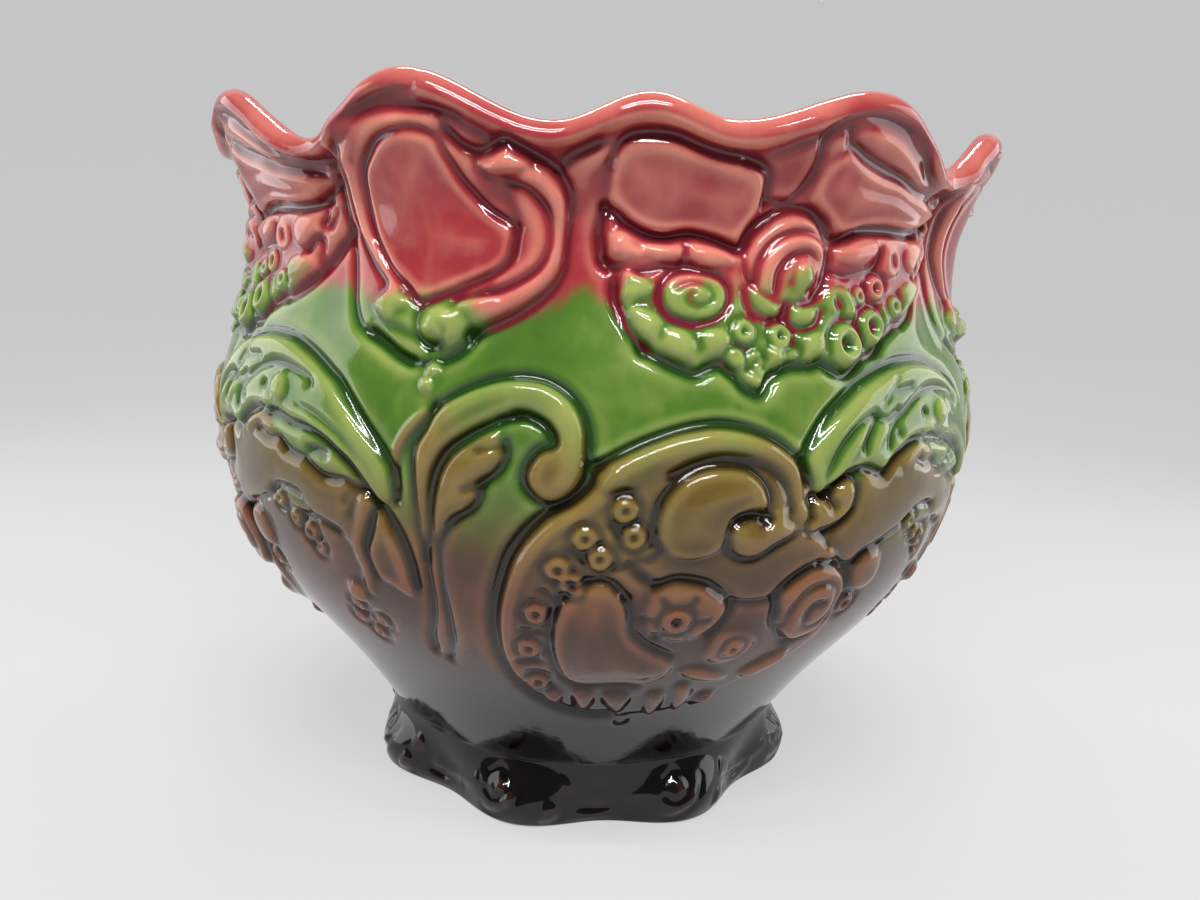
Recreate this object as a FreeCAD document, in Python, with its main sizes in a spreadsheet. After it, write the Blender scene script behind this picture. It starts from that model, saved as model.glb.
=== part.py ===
import FreeCAD, Part
import math
import os
import Sketcher
from FreeCAD import Placement, Rotation, Vector

# A round, full-bellied jardiniere with a scalloped, rolled rim, on a low foot with eight rounded corners.
# Moulded relief runs round it, the same in each quarter. The pot stands on Z = 0, its axis is Z, and its
# front faces -Y. An azimuth is in degrees from the front, growing towards +X.

doc = FreeCAD.newDocument("jardiniere")
sheet = doc.addObject("Spreadsheet::Sheet", "sizes")

SIZES = [
    # outside of the wall: its radius and height at six stations, from the waist up
    ("waist_radius", 66.0), ("foot_height", 19.5),
    ("flank_radius", 95.8), ("flank_height", 60.0),
    ("belly_radius", 117.8), ("belly_height", 119.0),
    ("shoulder_radius", 112.5), ("shoulder_height", 145.0),
    ("neck_radius", 106.5), ("neck_height", 169.0),
    ("flare_radius", 115.5), ("flare_height", 196.0),
    ("wall_thickness", 6.5), ("floor_thickness", 8.0),
    # rolled lip: its thickness, its middle radius and the height of its top at each lobe and valley
    ("lip_thickness", 10.0), ("lip_radius", 112.6), ("lip_lean", 0.35),
    ("tall_lobe_top", 203.5), ("small_lobe_top", 199.5), ("side_lobe_top", 204.0),
    ("deep_valley_top", 190.0), ("left_valley_top", 193.0), ("right_valley_top", 195.0),
    # foot
    ("foot_corner_radius", 73.0), ("foot_side_radius", 66.5), ("foot_swell_height", 7.0),
    ("foot_edge_inset", 2.5), ("foot_shoulder_inset", 1.5), ("foot_corner_azimuth", 29.5),
    ("foot_hollow_radius", 55.0),
    # how far the relief stands out from the wall
    ("low_relief", 2.2), ("high_relief", 3.4), ("bead_relief", 1.6), ("knob_relief", 5.4),
    # round pieces of the relief
    ("knob_radius", 6.0), ("rose_radius", 12.3), ("petal_radius", 3.8), ("berry_radius", 4.1),
    ("flower_radius", 8.5), ("petal_depth", 1.3), ("shell_radius", 10.5), ("bead_radius", 3.3),
]
for row, (alias, value) in enumerate(SIZES, start=1):
    sheet.set("A%d" % row, alias)
    sheet.set("B%d" % row, str(value))
    sheet.setAlias("B%d" % row, alias)
doc.recompute()


def size(alias):
    """The value of one named size."""
    return float(sheet.get(alias))


QUARTERS = 4
QUARTER = 360.0 / QUARTERS
FOOT_CORNERS = 8
Z_AXIS = Vector(0, 0, 1)
UPRIGHT = Rotation(Vector(1, 0, 0), 90)                                       # sketch in the X-Z plane
FACING = Rotation(Vector(0, 1, 0), Vector(0, 0, 1), Vector(1, 0, 0), "ZXY")   # sketch that faces +X


# ---------------------------------------------------------------- wall profile: tangent arcs

# Each station of the wall's outside: the names of its radius and of its height.
STATIONS = [("waist_radius", "foot_height"), ("flank_radius", "flank_height"),
            ("belly_radius", "belly_height"), ("shoulder_radius", "shoulder_height"),
            ("neck_radius", "neck_height"), ("flare_radius", "flare_height")]
BELLY = 2            # the station where the wall is upright


def wall_arcs():
    """The wall's outside as arcs that run smoothly into each other, from the waist up.

    At the belly the wall is upright. Each arc leaves one station in the direction in which the arc before
    it ended, and reaches the next station, so one point, one direction and one more point set it.
    Returns a list of (centre, radius, lower end, upper end) in (radius, height).
    """
    points = [(size(radius), size(height)) for radius, height in STATIONS]
    arcs = []
    for step in (-1, 1):
        here, direction = BELLY, (0.0, float(step))
        while 0 <= here + step < len(points):
            start, end = points[here], points[here + step]
            chord = (end[0] - start[0], end[1] - start[1])
            normal = (direction[1], -direction[0])
            radius = (chord[0] ** 2 + chord[1] ** 2) / (2.0 * (chord[0] * normal[0] + chord[1] * normal[1]))
            centre = (start[0] + radius * normal[0], start[1] + radius * normal[1])
            spoke = ((end[0] - centre[0]) / radius, (end[1] - centre[1]) / radius)
            direction = (spoke[1], -spoke[0])
            ends = (start, end) if step > 0 else (end, start)
            arcs.append((centre, abs(radius)) + ends)
            here += step
    return sorted(arcs, key=lambda arc: arc[2][1])


def wall_radius(height):
    """Radius of the wall's outside at a height."""
    arcs = wall_arcs()
    for centre, radius, lower, upper in arcs:
        if height <= upper[1] or upper == arcs[-1][3]:
            side = 1.0 if lower[0] > centre[0] else -1.0
            return centre[0] + side * math.sqrt(max(radius ** 2 - (height - centre[1]) ** 2, 0.0))


def end_number(sketch, element, point):
    """1 or 2, for the end of a sketch element that lies at a point."""
    return min((1, 2), key=lambda end: sketch.getPoint(element, end).distanceToPoint(point))


def tie(sketch, element, end, radius, height):
    """Ties one end of a sketch element to formulas for its radius and its height."""
    for kind, formula in (("DistanceX", radius), ("DistanceY", height)):
        value = sheet.evalExpression(formula)
        number = sketch.addConstraint(Sketcher.Constraint(kind, -1, 1, element, end, value))
        sketch.setExpression("Constraints[%d]" % number, formula)


def draw_wall_line(sketch, outset):
    """Adds the wall's outside, moved outward by outset (a formula), and ties every station to the sheet."""
    shift = sheet.evalExpression(outset)
    elements = []
    for number, (centre, radius, lower, upper) in enumerate(wall_arcs()):
        chord_middle = ((lower[0] + upper[0]) / 2 - centre[0], (lower[1] + upper[1]) / 2 - centre[1])
        stretch = radius / math.hypot(*chord_middle)
        middle = (centre[0] + chord_middle[0] * stretch, centre[1] + chord_middle[1] * stretch)
        ends = [Vector(across + shift, up, 0) for across, up in (lower, middle, upper)]
        element = sketch.addGeometry(Part.Arc(*ends), False)
        low_end, high_end = end_number(sketch, element, ends[0]), end_number(sketch, element, ends[2])
        for end, names in ((low_end, STATIONS[number]), (high_end, STATIONS[number + 1])):
            if end == high_end or number == 0:
                tie(sketch, element, end, "sizes.%s + %s" % (names[0], outset), "sizes." + names[1])
        if number in (BELLY - 1, BELLY):
            upright = Sketcher.Constraint("Horizontal", element, 3, element, high_end if number < BELLY else low_end)
            sketch.addConstraint(upright)
        if number == BELLY:
            sketch.addConstraint(Sketcher.Constraint("Coincident", *elements[-1][0::2], element, low_end))
        elif number:
            sketch.addConstraint(Sketcher.Constraint("Tangent", *elements[-1][0::2], element, low_end))
        elements.append((element, low_end, high_end))
    return elements


def wall_band(name, inner, outer):
    """A ring all round the pot, between two copies of the wall's outside that are moved out by formulas."""
    section = doc.addObject("Sketcher::SketchObject", name + "_section")
    section.Placement = Placement(Vector(), UPRIGHT)
    inside, outside = draw_wall_line(section, inner), draw_wall_line(section, outer)
    for inner_end, outer_end in ((inside[0][:2], outside[0][:2]), (inside[-1][0::2], outside[-1][0::2])):
        points = [section.getPoint(*end) for end in (inner_end, outer_end)]
        line = section.addGeometry(Part.LineSegment(*points), False)
        section.addConstraint(Sketcher.Constraint("Coincident", line, 1, *inner_end))
        section.addConstraint(Sketcher.Constraint("Coincident", line, 2, *outer_end))
    band = doc.addObject("Part::Revolution", name)
    band.Source, band.Axis, band.Angle, band.Solid = section, Z_AXIS, 360, True
    band.Placement = Placement(Vector(), Rotation(Z_AXIS, 180))
    return band


def boolean(kind, name, base, tool):
    """A Part::Cut or Part::Common of two objects."""
    result = doc.addObject("Part::" + kind, name)
    result.Base, result.Tool = base, tool
    return result


def closed_curve(points):
    """A smooth closed curve through points."""
    curve = Part.BSplineCurve()
    curve.interpolate(points, PeriodicFlag=True)
    return curve


# ---------------------------------------------------------------- rim

# Azimuth and name of the height of each lobe and valley in one quarter. The lip is level at each of them.
RIM_STATIONS = [(-39.2, "deep_valley_top"), (-22.7, "tall_lobe_top"), (-5.9, "left_valley_top"),
                (4.8, "small_lobe_top"), (13.8, "right_valley_top"), (32.0, "side_lobe_top")]



def rim_top(azimuth):
    """Height of the lip's top: half a cosine wave from each lobe or valley to the next."""
    stations = RIM_STATIONS + [(RIM_STATIONS[0][0] + QUARTER, RIM_STATIONS[0][1])]
    turned = stations[0][0] + (azimuth - stations[0][0]) % QUARTER
    for (start, start_top), (end, end_top) in zip(stations, stations[1:]):
        if turned <= end:
            share = 0.5 - 0.5 * math.cos(math.pi * (turned - start) / (end - start))
            return size(start_top) + share * (size(end_top) - size(start_top))


def rim_middle(azimuth):
    """Middle of the lip's round section: it leans outward as it rises."""
    height = rim_top(azimuth) - size("lip_thickness") / 2
    radius = size("lip_radius") + size("lip_lean") * (height - size("flare_height"))
    return polar(azimuth, radius, height)


def polar(azimuth, radius, height):
    """A point at an azimuth, a radius and a height."""
    turn = math.radians(azimuth)
    return Vector(radius * math.sin(turn), -radius * math.cos(turn), height)


def make_rim_lip():
    """A round bead that follows the rim. Its surface is one smooth patch, closed both ways."""
    steps_round, steps_across = 96, 8
    # A cubic spline runs inside its control points, so these stand out further by this factor.
    swell = 3.0 / (2.0 + math.cos(2 * math.pi / steps_across))
    control = []
    for step in range(steps_round):
        azimuth = 360.0 * step / steps_round
        middle = rim_middle(azimuth)
        outward = polar(azimuth, 1.0, 0.0)
        reach = swell * size("lip_thickness") / 2
        turns = [2 * math.pi * number / steps_across for number in range(steps_across)]
        control.append([middle + outward * (reach * math.cos(turn)) + Z_AXIS * (reach * math.sin(turn))
                        for turn in turns])
    surface = Part.BSplineSurface()
    surface.buildFromPolesMultsKnots(control, [1] * (steps_round + 1), [1] * (steps_across + 1),
                                     list(range(steps_round + 1)), list(range(steps_across + 1)),
                                     True, True, 3, 3)
    solid = Part.Solid(Part.Shell([surface.toShape()]))
    if solid.Volume < 0:
        solid.reverse()
    lip = doc.addObject("Part::Feature", "rim_lip")
    lip.Shape = solid
    return lip


def make_space_above_rim():
    """Everything above the lip's middle line, to trim the wall to the lobes."""
    steps = 96
    middles = [rim_middle(360.0 * step / steps) for step in range(steps)]
    level = [closed_curve([Vector(m.x * share, m.y * share, m.z) for m in middles]).toShape()
             for share in (0.7, 1.3)]
    space = doc.addObject("Part::Feature", "space_above_rim")
    space.Shape = Part.makeRuledSurface(*level).extrude(Z_AXIS * size("belly_radius"))
    return space


def make_bowl_wall(lip):
    """The wall, from the waist up to the inside of the lip."""
    wall = wall_band("wall_band", "-sizes.wall_thickness", "0 * sizes.wall_thickness")
    wall.Label = "wall_before_trimming"
    trimmed = boolean("Cut", "trimmed_wall", wall, make_space_above_rim())
    return boolean("Cut", "bowl_wall", trimmed, lip)


def make_bowl_floor():
    """The disc that closes the bowl: a slice of the space inside the wall."""
    section = doc.addObject("Sketcher::SketchObject", "inside_section")
    section.Placement = Placement(Vector(), UPRIGHT)
    inside = draw_wall_line(section, "-sizes.wall_thickness")
    low, high = section.getPoint(*inside[0][:2]), section.getPoint(*inside[-1][0::2])
    corners = [high, Vector(0, high.y, 0), Vector(0, low.y, 0), low]
    lines = [section.addGeometry(Part.LineSegment(*ends), False) for ends in zip(corners, corners[1:])]
    chain = [inside[-1][0::2], (lines[0], 1), (lines[0], 2), (lines[1], 1), (lines[1], 2), (lines[2], 1),
             (lines[2], 2), inside[0][:2]]
    for first, second in zip(chain[0::2], chain[1::2]):
        section.addConstraint(Sketcher.Constraint("Coincident", *first, *second))
    for line, kind in zip(lines, ("Horizontal", "Vertical", "Horizontal")):
        section.addConstraint(Sketcher.Constraint(kind, line))
    section.addConstraint(Sketcher.Constraint("PointOnObject", lines[1], 1, -2))
    space = doc.addObject("Part::Revolution", "space_inside")
    space.Source, space.Axis, space.Angle, space.Solid = section, Z_AXIS, 360, True
    slice_ = doc.addObject("Part::Cylinder", "floor_slice")
    slice_.setExpression("Radius", "sizes.belly_radius")
    slice_.setExpression("Height", "sizes.floor_thickness")
    slice_.setExpression("Placement.Base.z", "sizes.foot_height")
    return boolean("Common", "bowl_floor", space, slice_)


# ---------------------------------------------------------------- foot

def foot_outline(name, height, inset):
    """The foot's plan at one height: round corners joined by slightly hollow sides.

    The radius swings between its value at the corners and at the middles of the sides as a cosine wave.
    Both arguments are formulas.
    """
    points = []
    for number in range(4 * FOOT_CORNERS):
        turn = math.pi * number / 2
        middle = (size("foot_corner_radius") + size("foot_side_radius")) / 2
        swing = (size("foot_corner_radius") - size("foot_side_radius")) / 2
        radius = middle + swing * math.cos(turn) - sheet.evalExpression(inset)
        azimuth = size("foot_corner_azimuth") + number * 90.0 / FOOT_CORNERS
        points.append(polar(azimuth, radius, 0.0))
    sketch = doc.addObject("Sketcher::SketchObject", name)
    sketch.addGeometry(closed_curve(points), False)
    sketch.setExpression("Placement.Base.z", height)
    return sketch


def make_foot_ring():
    """The foot: a swelling ring with eight corners, hollow underneath."""
    levels = [("foot_edge", "0 * sizes.foot_height", "sizes.foot_edge_inset"),
              ("foot_swell", "sizes.foot_swell_height", "0 * sizes.foot_edge_inset"),
              ("foot_shoulder", "(sizes.foot_swell_height + sizes.foot_height) / 2", "sizes.foot_shoulder_inset"),
              ("foot_top", "sizes.foot_height", "sizes.foot_side_radius - sizes.waist_radius + 3")]
    loft = doc.addObject("Part::Loft", "foot_outside")
    loft.Sections = [foot_outline(*level) for level in levels]
    loft.Solid, loft.Ruled = True, False
    hollow = doc.addObject("Part::Cylinder", "foot_hollow")
    hollow.setExpression("Radius", "sizes.foot_hollow_radius")
    hollow.setExpression("Height", "sizes.foot_height")
    return boolean("Cut", "foot_ring", loft, hollow)


# ---------------------------------------------------------------- relief

# How far out from the wall each layer of the relief begins and ends.
LAYERS = {
    "low": ("0 * sizes.low_relief", "sizes.low_relief"),
    "high": ("0 * sizes.high_relief", "sizes.high_relief"),
    "on_low": ("sizes.low_relief", "sizes.low_relief + sizes.bead_relief"),
    "on_high": ("sizes.high_relief", "sizes.knob_relief"),
}

# Outlines of the relief in one quarter: (azimuth, height in percent of the way from the waist to the flare).
CARTOUCHE = [(-22, 96.5), (-28, 95), (-32, 91), (-34, 86), (-33.5, 79.5), (-29.5, 72.5), (-23.5, 69), (-18, 71),
             (-14.5, 75.5), (-11.5, 81), (-11, 86.5), (-13, 92.5), (-16.5, 95.5)]
CARTOUCHE_FIELD = [(-22, 93.5), (-26.5, 92.5), (-29, 89), (-28, 84), (-24.5, 79.5), (-21, 78.5), (-18, 80), (-15, 84),
                   (-15, 89), (-17.5, 92.5)]
CARTOUCHE_SCROLL = [(-10.5, 92), (-5.5, 91), (-3, 88), (-3, 81.5), (-6.5, 77), (-12, 74), (-12.5, 75), (-9.5, 78.5),
                    (-7.5, 82.5), (-7.5, 87), (-9.5, 90)]
NECK_PANEL = [(1, 93), (2.5, 95), (6, 95.2), (10.5, 93.5), (15, 92.8), (17.5, 92.5), (18, 91), (18, 89.5), (17, 88),
              (13.5, 87.5), (9, 88), (4.5, 88), (2, 89.5), (1, 91)]
SIDE_PANEL = [(25.5, 92.5), (26.5, 95), (28, 97), (30.5, 96), (34, 94.5), (39, 93), (42.5, 91), (44.5, 89.8),
              (44.5, 89), (41.5, 88.5), (37, 89.5), (33.5, 89), (30.5, 88), (29, 89.5), (26.5, 91)]
FLOWER_SPRAY = [(1, 88), (4.5, 86.5), (11, 86), (17, 86), (20, 89), (24.5, 89.5), (28, 88.5), (30.5, 86), (36, 87.5),
                (41.5, 86), (43, 83.5), (42.5, 79), (40.5, 75), (35.5, 71), (30.5, 69.5), (25.5, 70.5), (21.5, 69),
                (18.5, 66.5), (15.5, 69), (8.5, 70), (6, 73.5), (2.5, 75), (1.5, 79.5), (0.5, 84)]
LEAF_ARCH = [(24.5, 53), (25.8, 60), (28.9, 65), (34, 68.5), (40, 70), (46, 70.2), (51, 69.5), (55, 67), (59, 63),
             (63.5, 57.5), (66, 51.5), (67, 45), (67, 36.5), (66, 30.5), (63.5, 26.5), (60.5, 26), (58.8, 30),
             (58.5, 36), (58.8, 42.5), (59.5, 47.5), (57, 51.5), (53, 53), (47, 54), (42, 54), (37, 53), (33, 50.5),
             (31, 48.5), (28.5, 47), (25.5, 49)]
WAVE_SCROLL = [(-22, 51.5), (-21.5, 58), (-18.5, 62.5), (-13.5, 66), (-7.5, 67.5), (-3.5, 66.5), (-0.5, 63), (0, 58.5),
               (-1.5, 55), (-4, 52.5), (-6.5, 53.5), (-8, 56), (-10, 54), (-13, 51.5), (-16.5, 47), (-18.5, 41.5),
               (-18.5, 34), (-20, 27.5), (-22, 23), (-22, 30.5), (-21, 38.5), (-21, 45.5)]
GARLAND_ARCH = [(23, 53.5), (22, 57.5), (18, 61.5), (12, 63), (6, 62), (2.5, 60), (1, 56.5), (-1, 53.5), (-4, 51),
                (-8, 47), (-11, 41.5), (-12, 34.5), (-11, 27), (-8, 21.5), (-3.5, 18.5), (2.5, 17), (7.5, 18),
                (7, 20), (2, 20.5), (-2.5, 22.5), (-5, 27), (-6, 33), (-5, 38.5), (-1.5, 43.5), (3, 46), (6, 50),
                (7, 54), (10.5, 57.5), (15, 57.5), (19.5, 55.5), (21, 53)]
UPPER_PANEL = [(8, 50.5), (8.5, 53.5), (11, 56), (14.5, 56), (18, 55), (19.5, 53), (19, 50.5), (16, 50.5),
               (14.5, 48.5), (14, 46), (10, 46.5)]
LOWER_PANEL = [(-3.5, 31), (-3, 35), (-0.5, 39.5), (2.5, 41.5), (5.5, 40), (6, 36.5), (6.5, 33), (9, 30),
               (9.5, 27), (6, 25), (0.5, 24), (-2.5, 25.5)]
# Middles of the round pieces, measured in the same way.
KNOB, ROSE, FLOWER, SHELL = (-19.5, 75), (24, 83), (12.5, 36.5), (31, 36.5)
ROSE_PETALS = [(3.5, 83.5), (8, 82.5), (13, 83.5), (34.5, 85), (40, 83)]
BERRIES = [(30.5, 73), (37, 75), (11.5, 79), (10, 73.5), (15, 73), (21.5, 73.5), (26, 73)]
BEADS = [(4, 51.5), (1, 48), (-4, 42.5), (-8, 36.5), (-8.5, 30), (-6.5, 24)]
PETALS, SHELL_LOBES = 5, 7


def on_wall(place, middle):
    """Where an outline's place lies on its sketch: across from its own middle azimuth, and up."""
    azimuth, percent = place
    height = size("foot_height") + percent / 100.0 * (size("flare_height") - size("foot_height"))
    return Vector(wall_radius(height) * math.sin(math.radians(azimuth - middle)), height, 0)


def smooth(outline):
    """An edge drawn through an outline's places."""
    return lambda middle: closed_curve([on_wall(place, middle) for place in outline])


def disc(place, radius):
    """A round edge about one place."""
    return lambda middle: Part.Circle(on_wall(place, middle), Z_AXIS, size(radius))


def lobed(place, radius, lobes):
    """A round edge with petals: its radius swings as a cosine wave."""
    def curve(middle):
        points = []
        for step in range(4 * lobes):
            turn = 2 * math.pi * step / (4 * lobes)
            reach = size(radius) + size("petal_depth") * math.cos(lobes * turn)
            points.append(on_wall(place, middle) + Vector(math.cos(turn), math.sin(turn), 0) * reach)
        return closed_curve(points)
    return curve


# Each kind of relief: its name, the layer that it fills, its middle azimuth and its edges.
RELIEF = [
    ("cartouche", "high", -22, [smooth(CARTOUCHE), smooth(CARTOUCHE_FIELD)]),
    ("cartouche_scroll", "low", -8, [smooth(CARTOUCHE_SCROLL)]),
    ("neck_panels", "low", 23, [smooth(NECK_PANEL), smooth(SIDE_PANEL)]),
    ("cartouche_knob", "on_high", KNOB[0], [disc(KNOB, "knob_radius")]),
    ("flower_spray", "high", 22, [smooth(FLOWER_SPRAY)]),
    ("spray_rose", "on_high", ROSE[0], [disc(ROSE, "rose_radius")]
     + [disc(place, "petal_radius") for place in ROSE_PETALS]),
    ("spray_berries", "on_high", 24, [disc(place, "berry_radius") for place in BERRIES]),
    ("leaf_arch", "high", 46, [smooth(LEAF_ARCH)]),
    ("wave_scroll", "high", -11, [smooth(WAVE_SCROLL)]),
    ("garland_arch", "low", 6, [smooth(GARLAND_ARCH)]),
    ("bean_panels", "high", 8, [smooth(UPPER_PANEL), smooth(LOWER_PANEL)]),
    ("bead_string", "on_low", -2, [disc(place, "bead_radius") for place in BEADS]),
    ("garland_flower", "high", FLOWER[0], [lobed(FLOWER, "flower_radius", PETALS)]),
    ("garland_shell", "high", SHELL[0], [lobed(SHELL, "shell_radius", SHELL_LOBES)]),
]


def make_relief(bands, name, layer, middle, edges):
    """One kind of relief, as a piece in each quarter: its outline carried outward through its layer."""
    outline = doc.addObject("Sketcher::SketchObject", name + "_outline")
    for edge in edges:
        outline.addGeometry(edge(middle), False)
    outline.Placement = Placement(Vector(), FACING)
    block = doc.addObject("Part::Extrusion", name + "_block")
    block.Base, block.DirMode, block.Solid = outline, "Normal", True
    block.FaceMakerClass = "Part::FaceMakerBullseye"
    block.setExpression("LengthFwd", "2 * sizes.belly_radius")
    pieces = []
    for quarter in range(QUARTERS):
        piece = boolean("Common", "%s_%d" % (name, quarter + 1), bands[layer], block)
        turn = middle + quarter * QUARTER - 90.0
        piece.Placement = Placement(Vector(), Rotation(Z_AXIS, turn))
        pieces.append(piece)
    return pieces


# ---------------------------------------------------------------- the whole pot

lip = make_rim_lip()
sub_parts = [make_bowl_wall(lip), make_bowl_floor(), lip, make_foot_ring()]
bands = {name: wall_band(name + "_band", *layer) for name, layer in LAYERS.items()}
for kind in RELIEF:
    sub_parts += make_relief(bands, *kind)
doc.recompute()

for item in doc.Objects:
    if {"Invalid", "Error"} & set(item.State):
        raise RuntimeError("%s failed: %s" % (item.Name, item.State))
for sub_part in sub_parts:
    shape = sub_part.Shape
    if shape.isNull() or not shape.isValid() or not shape.Solids:
        raise RuntimeError("%s has no valid solid" % sub_part.Name)

os.makedirs("parts", exist_ok=True)
for sub_part in sub_parts:
    sub_part.Label = sub_part.Name
    sub_part.Shape.exportStep("parts/%s.step" % sub_part.Label)
    print(sub_part.Label, len(sub_part.Shape.Solids), round(sub_part.Shape.Volume))
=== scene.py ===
"""A glazed earthenware jardiniere with moulded relief: its surfaces, glazes, floor, lights and camera."""

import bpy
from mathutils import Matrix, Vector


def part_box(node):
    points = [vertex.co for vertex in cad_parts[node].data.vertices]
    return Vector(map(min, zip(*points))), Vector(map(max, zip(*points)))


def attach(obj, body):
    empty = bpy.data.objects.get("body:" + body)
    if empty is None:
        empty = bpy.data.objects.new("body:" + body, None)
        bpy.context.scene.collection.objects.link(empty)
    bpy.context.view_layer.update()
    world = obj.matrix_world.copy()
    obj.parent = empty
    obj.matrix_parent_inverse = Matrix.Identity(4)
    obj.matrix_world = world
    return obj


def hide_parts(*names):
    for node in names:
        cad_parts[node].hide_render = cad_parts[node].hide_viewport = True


bl_info = {
    "name": "Glazed jardiniere",
    "version": (1, 0, 0),
    "blender": (4, 5, 0),
    "location": "View3D > Sidebar > Jardiniere",
    "description": "Builds a relief-moulded, glazed jardiniere round its packed frame",
    "category": "Add Mesh",
}

import math

import bpy
import numpy as np
from mathutils import Matrix, Vector

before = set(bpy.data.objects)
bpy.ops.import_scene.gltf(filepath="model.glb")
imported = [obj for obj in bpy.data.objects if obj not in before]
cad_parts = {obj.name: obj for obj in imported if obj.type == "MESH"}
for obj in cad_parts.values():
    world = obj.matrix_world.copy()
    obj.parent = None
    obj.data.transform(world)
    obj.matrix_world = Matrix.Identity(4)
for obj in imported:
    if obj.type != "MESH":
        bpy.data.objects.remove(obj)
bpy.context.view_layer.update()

MM = 0.001                       # all shapes are worked out in millimetres, and the meshes are in metres
QUARTERS = 4
QUARTER = 360.0 / QUARTERS       # the relief and the rim repeat after this many degrees
FIRST_AZIMUTH = -39.2            # the first quarter starts at the deep valley left of the front


# ------------------------------------------------------------------ sizes read from the frame

FOOT_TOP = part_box("foot_ring")[1].z / MM
FLOOR_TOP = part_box("bowl_floor")[1].z / MM
WALL_THICKNESS = 6.5


def wall_profile():
    """Heights and outside radii, in mm, at the levels where the CAD wall or lip has corners on both faces."""
    levels, widest = [], []
    for node in ("bowl_wall", "rim_lip"):
        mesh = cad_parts[node].data
        corners = np.empty(len(mesh.vertices) * 3)
        mesh.vertices.foreach_get("co", corners)
        corners = corners.reshape(-1, 3) / MM
        radii, heights = np.hypot(corners[:, 0], corners[:, 1]), np.round(corners[:, 2], 1)
        for level in np.unique(heights):
            there = radii[heights == level]
            if np.ptp(there) > WALL_THICKNESS - 0.6:
                levels.append(level)
                widest.append(there.max())
    return np.array(levels), np.array(widest)


def fit_wall():
    """The outside of the wall as one smooth polynomial of height, through the CAD wall's profile."""
    levels, widest = wall_profile()
    order = np.argsort(levels)
    levels, widest = levels[order], widest[order]
    places = np.arange(levels.min(), levels.max(), 1.5)
    return np.polynomial.Chebyshev.fit(places, np.interp(places, levels, widest), 12)


WALL = fit_wall()


def wall_radius(height):
    """Radius of the wall's outside, in mm, at each height."""
    return WALL(height)


# ------------------------------------------------------------------ rim line

RIM_TOPS = [(-39.2, 190.2), (-22.7, 203.4), (-5.9, 193.1), (4.8, 199.3), (13.8, 195.1), (32.0, 203.9)]


def rim_top(azimuth):
    """Height of the lip's top: half a cosine wave from each lobe or valley to the next."""
    places = np.array(RIM_TOPS + [(RIM_TOPS[0][0] + QUARTER, RIM_TOPS[0][1])])
    turned = (azimuth - places[0, 0]) % QUARTER
    starts = places[:, 0] - places[0, 0]
    step = np.clip(np.searchsorted(starts, turned, side="right") - 1, 0, len(RIM_TOPS) - 1)
    share = (turned - starts[step]) / (starts[step + 1] - starts[step])
    blend = 0.5 - 0.5 * np.cos(np.pi * share)
    return places[step, 1] + blend * (places[step + 1, 1] - places[step, 1])


# ------------------------------------------------------------------ relief map

def smoothstep(values):
    """0 below 0, 1 above 1, and 3x^2 - 2x^3 between."""
    values = np.clip(values, 0.0, 1.0)
    return values * values * (3.0 - 2.0 * values)


def smooth_line(places, closed=False, steps=7):
    """A Catmull-Rom curve through places: each stretch is the cubic whose end slopes join the neighbours."""
    points = np.array(places, float)
    if closed:
        points = np.vstack([points[-1:], points, points[:2]])
    else:
        points = np.vstack([2 * points[0] - points[1], points, 2 * points[-1] - points[-2]])
    share = np.arange(steps)[:, None, None] / steps
    p0, p1, p2, p3 = points[:-3], points[1:-2], points[2:-1], points[3:]
    curve = 0.5 * (2 * p1 + (p2 - p0) * share + (2 * p0 - 5 * p1 + 4 * p2 - p3) * share ** 2
                   + (3 * p1 - p0 - 3 * p2 + p3) * share ** 3)
    curve = curve.transpose(1, 0, 2).reshape(-1, 2)
    return np.vstack([curve, points[1:2] if closed else points[-2:-1]])


GROOVE_SPREAD = 1.2              # the mould's lines are this much wider than they are written
SOFTNESS = 0.6                   # reach, in mm, over which slip and glaze round the relief off


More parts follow.
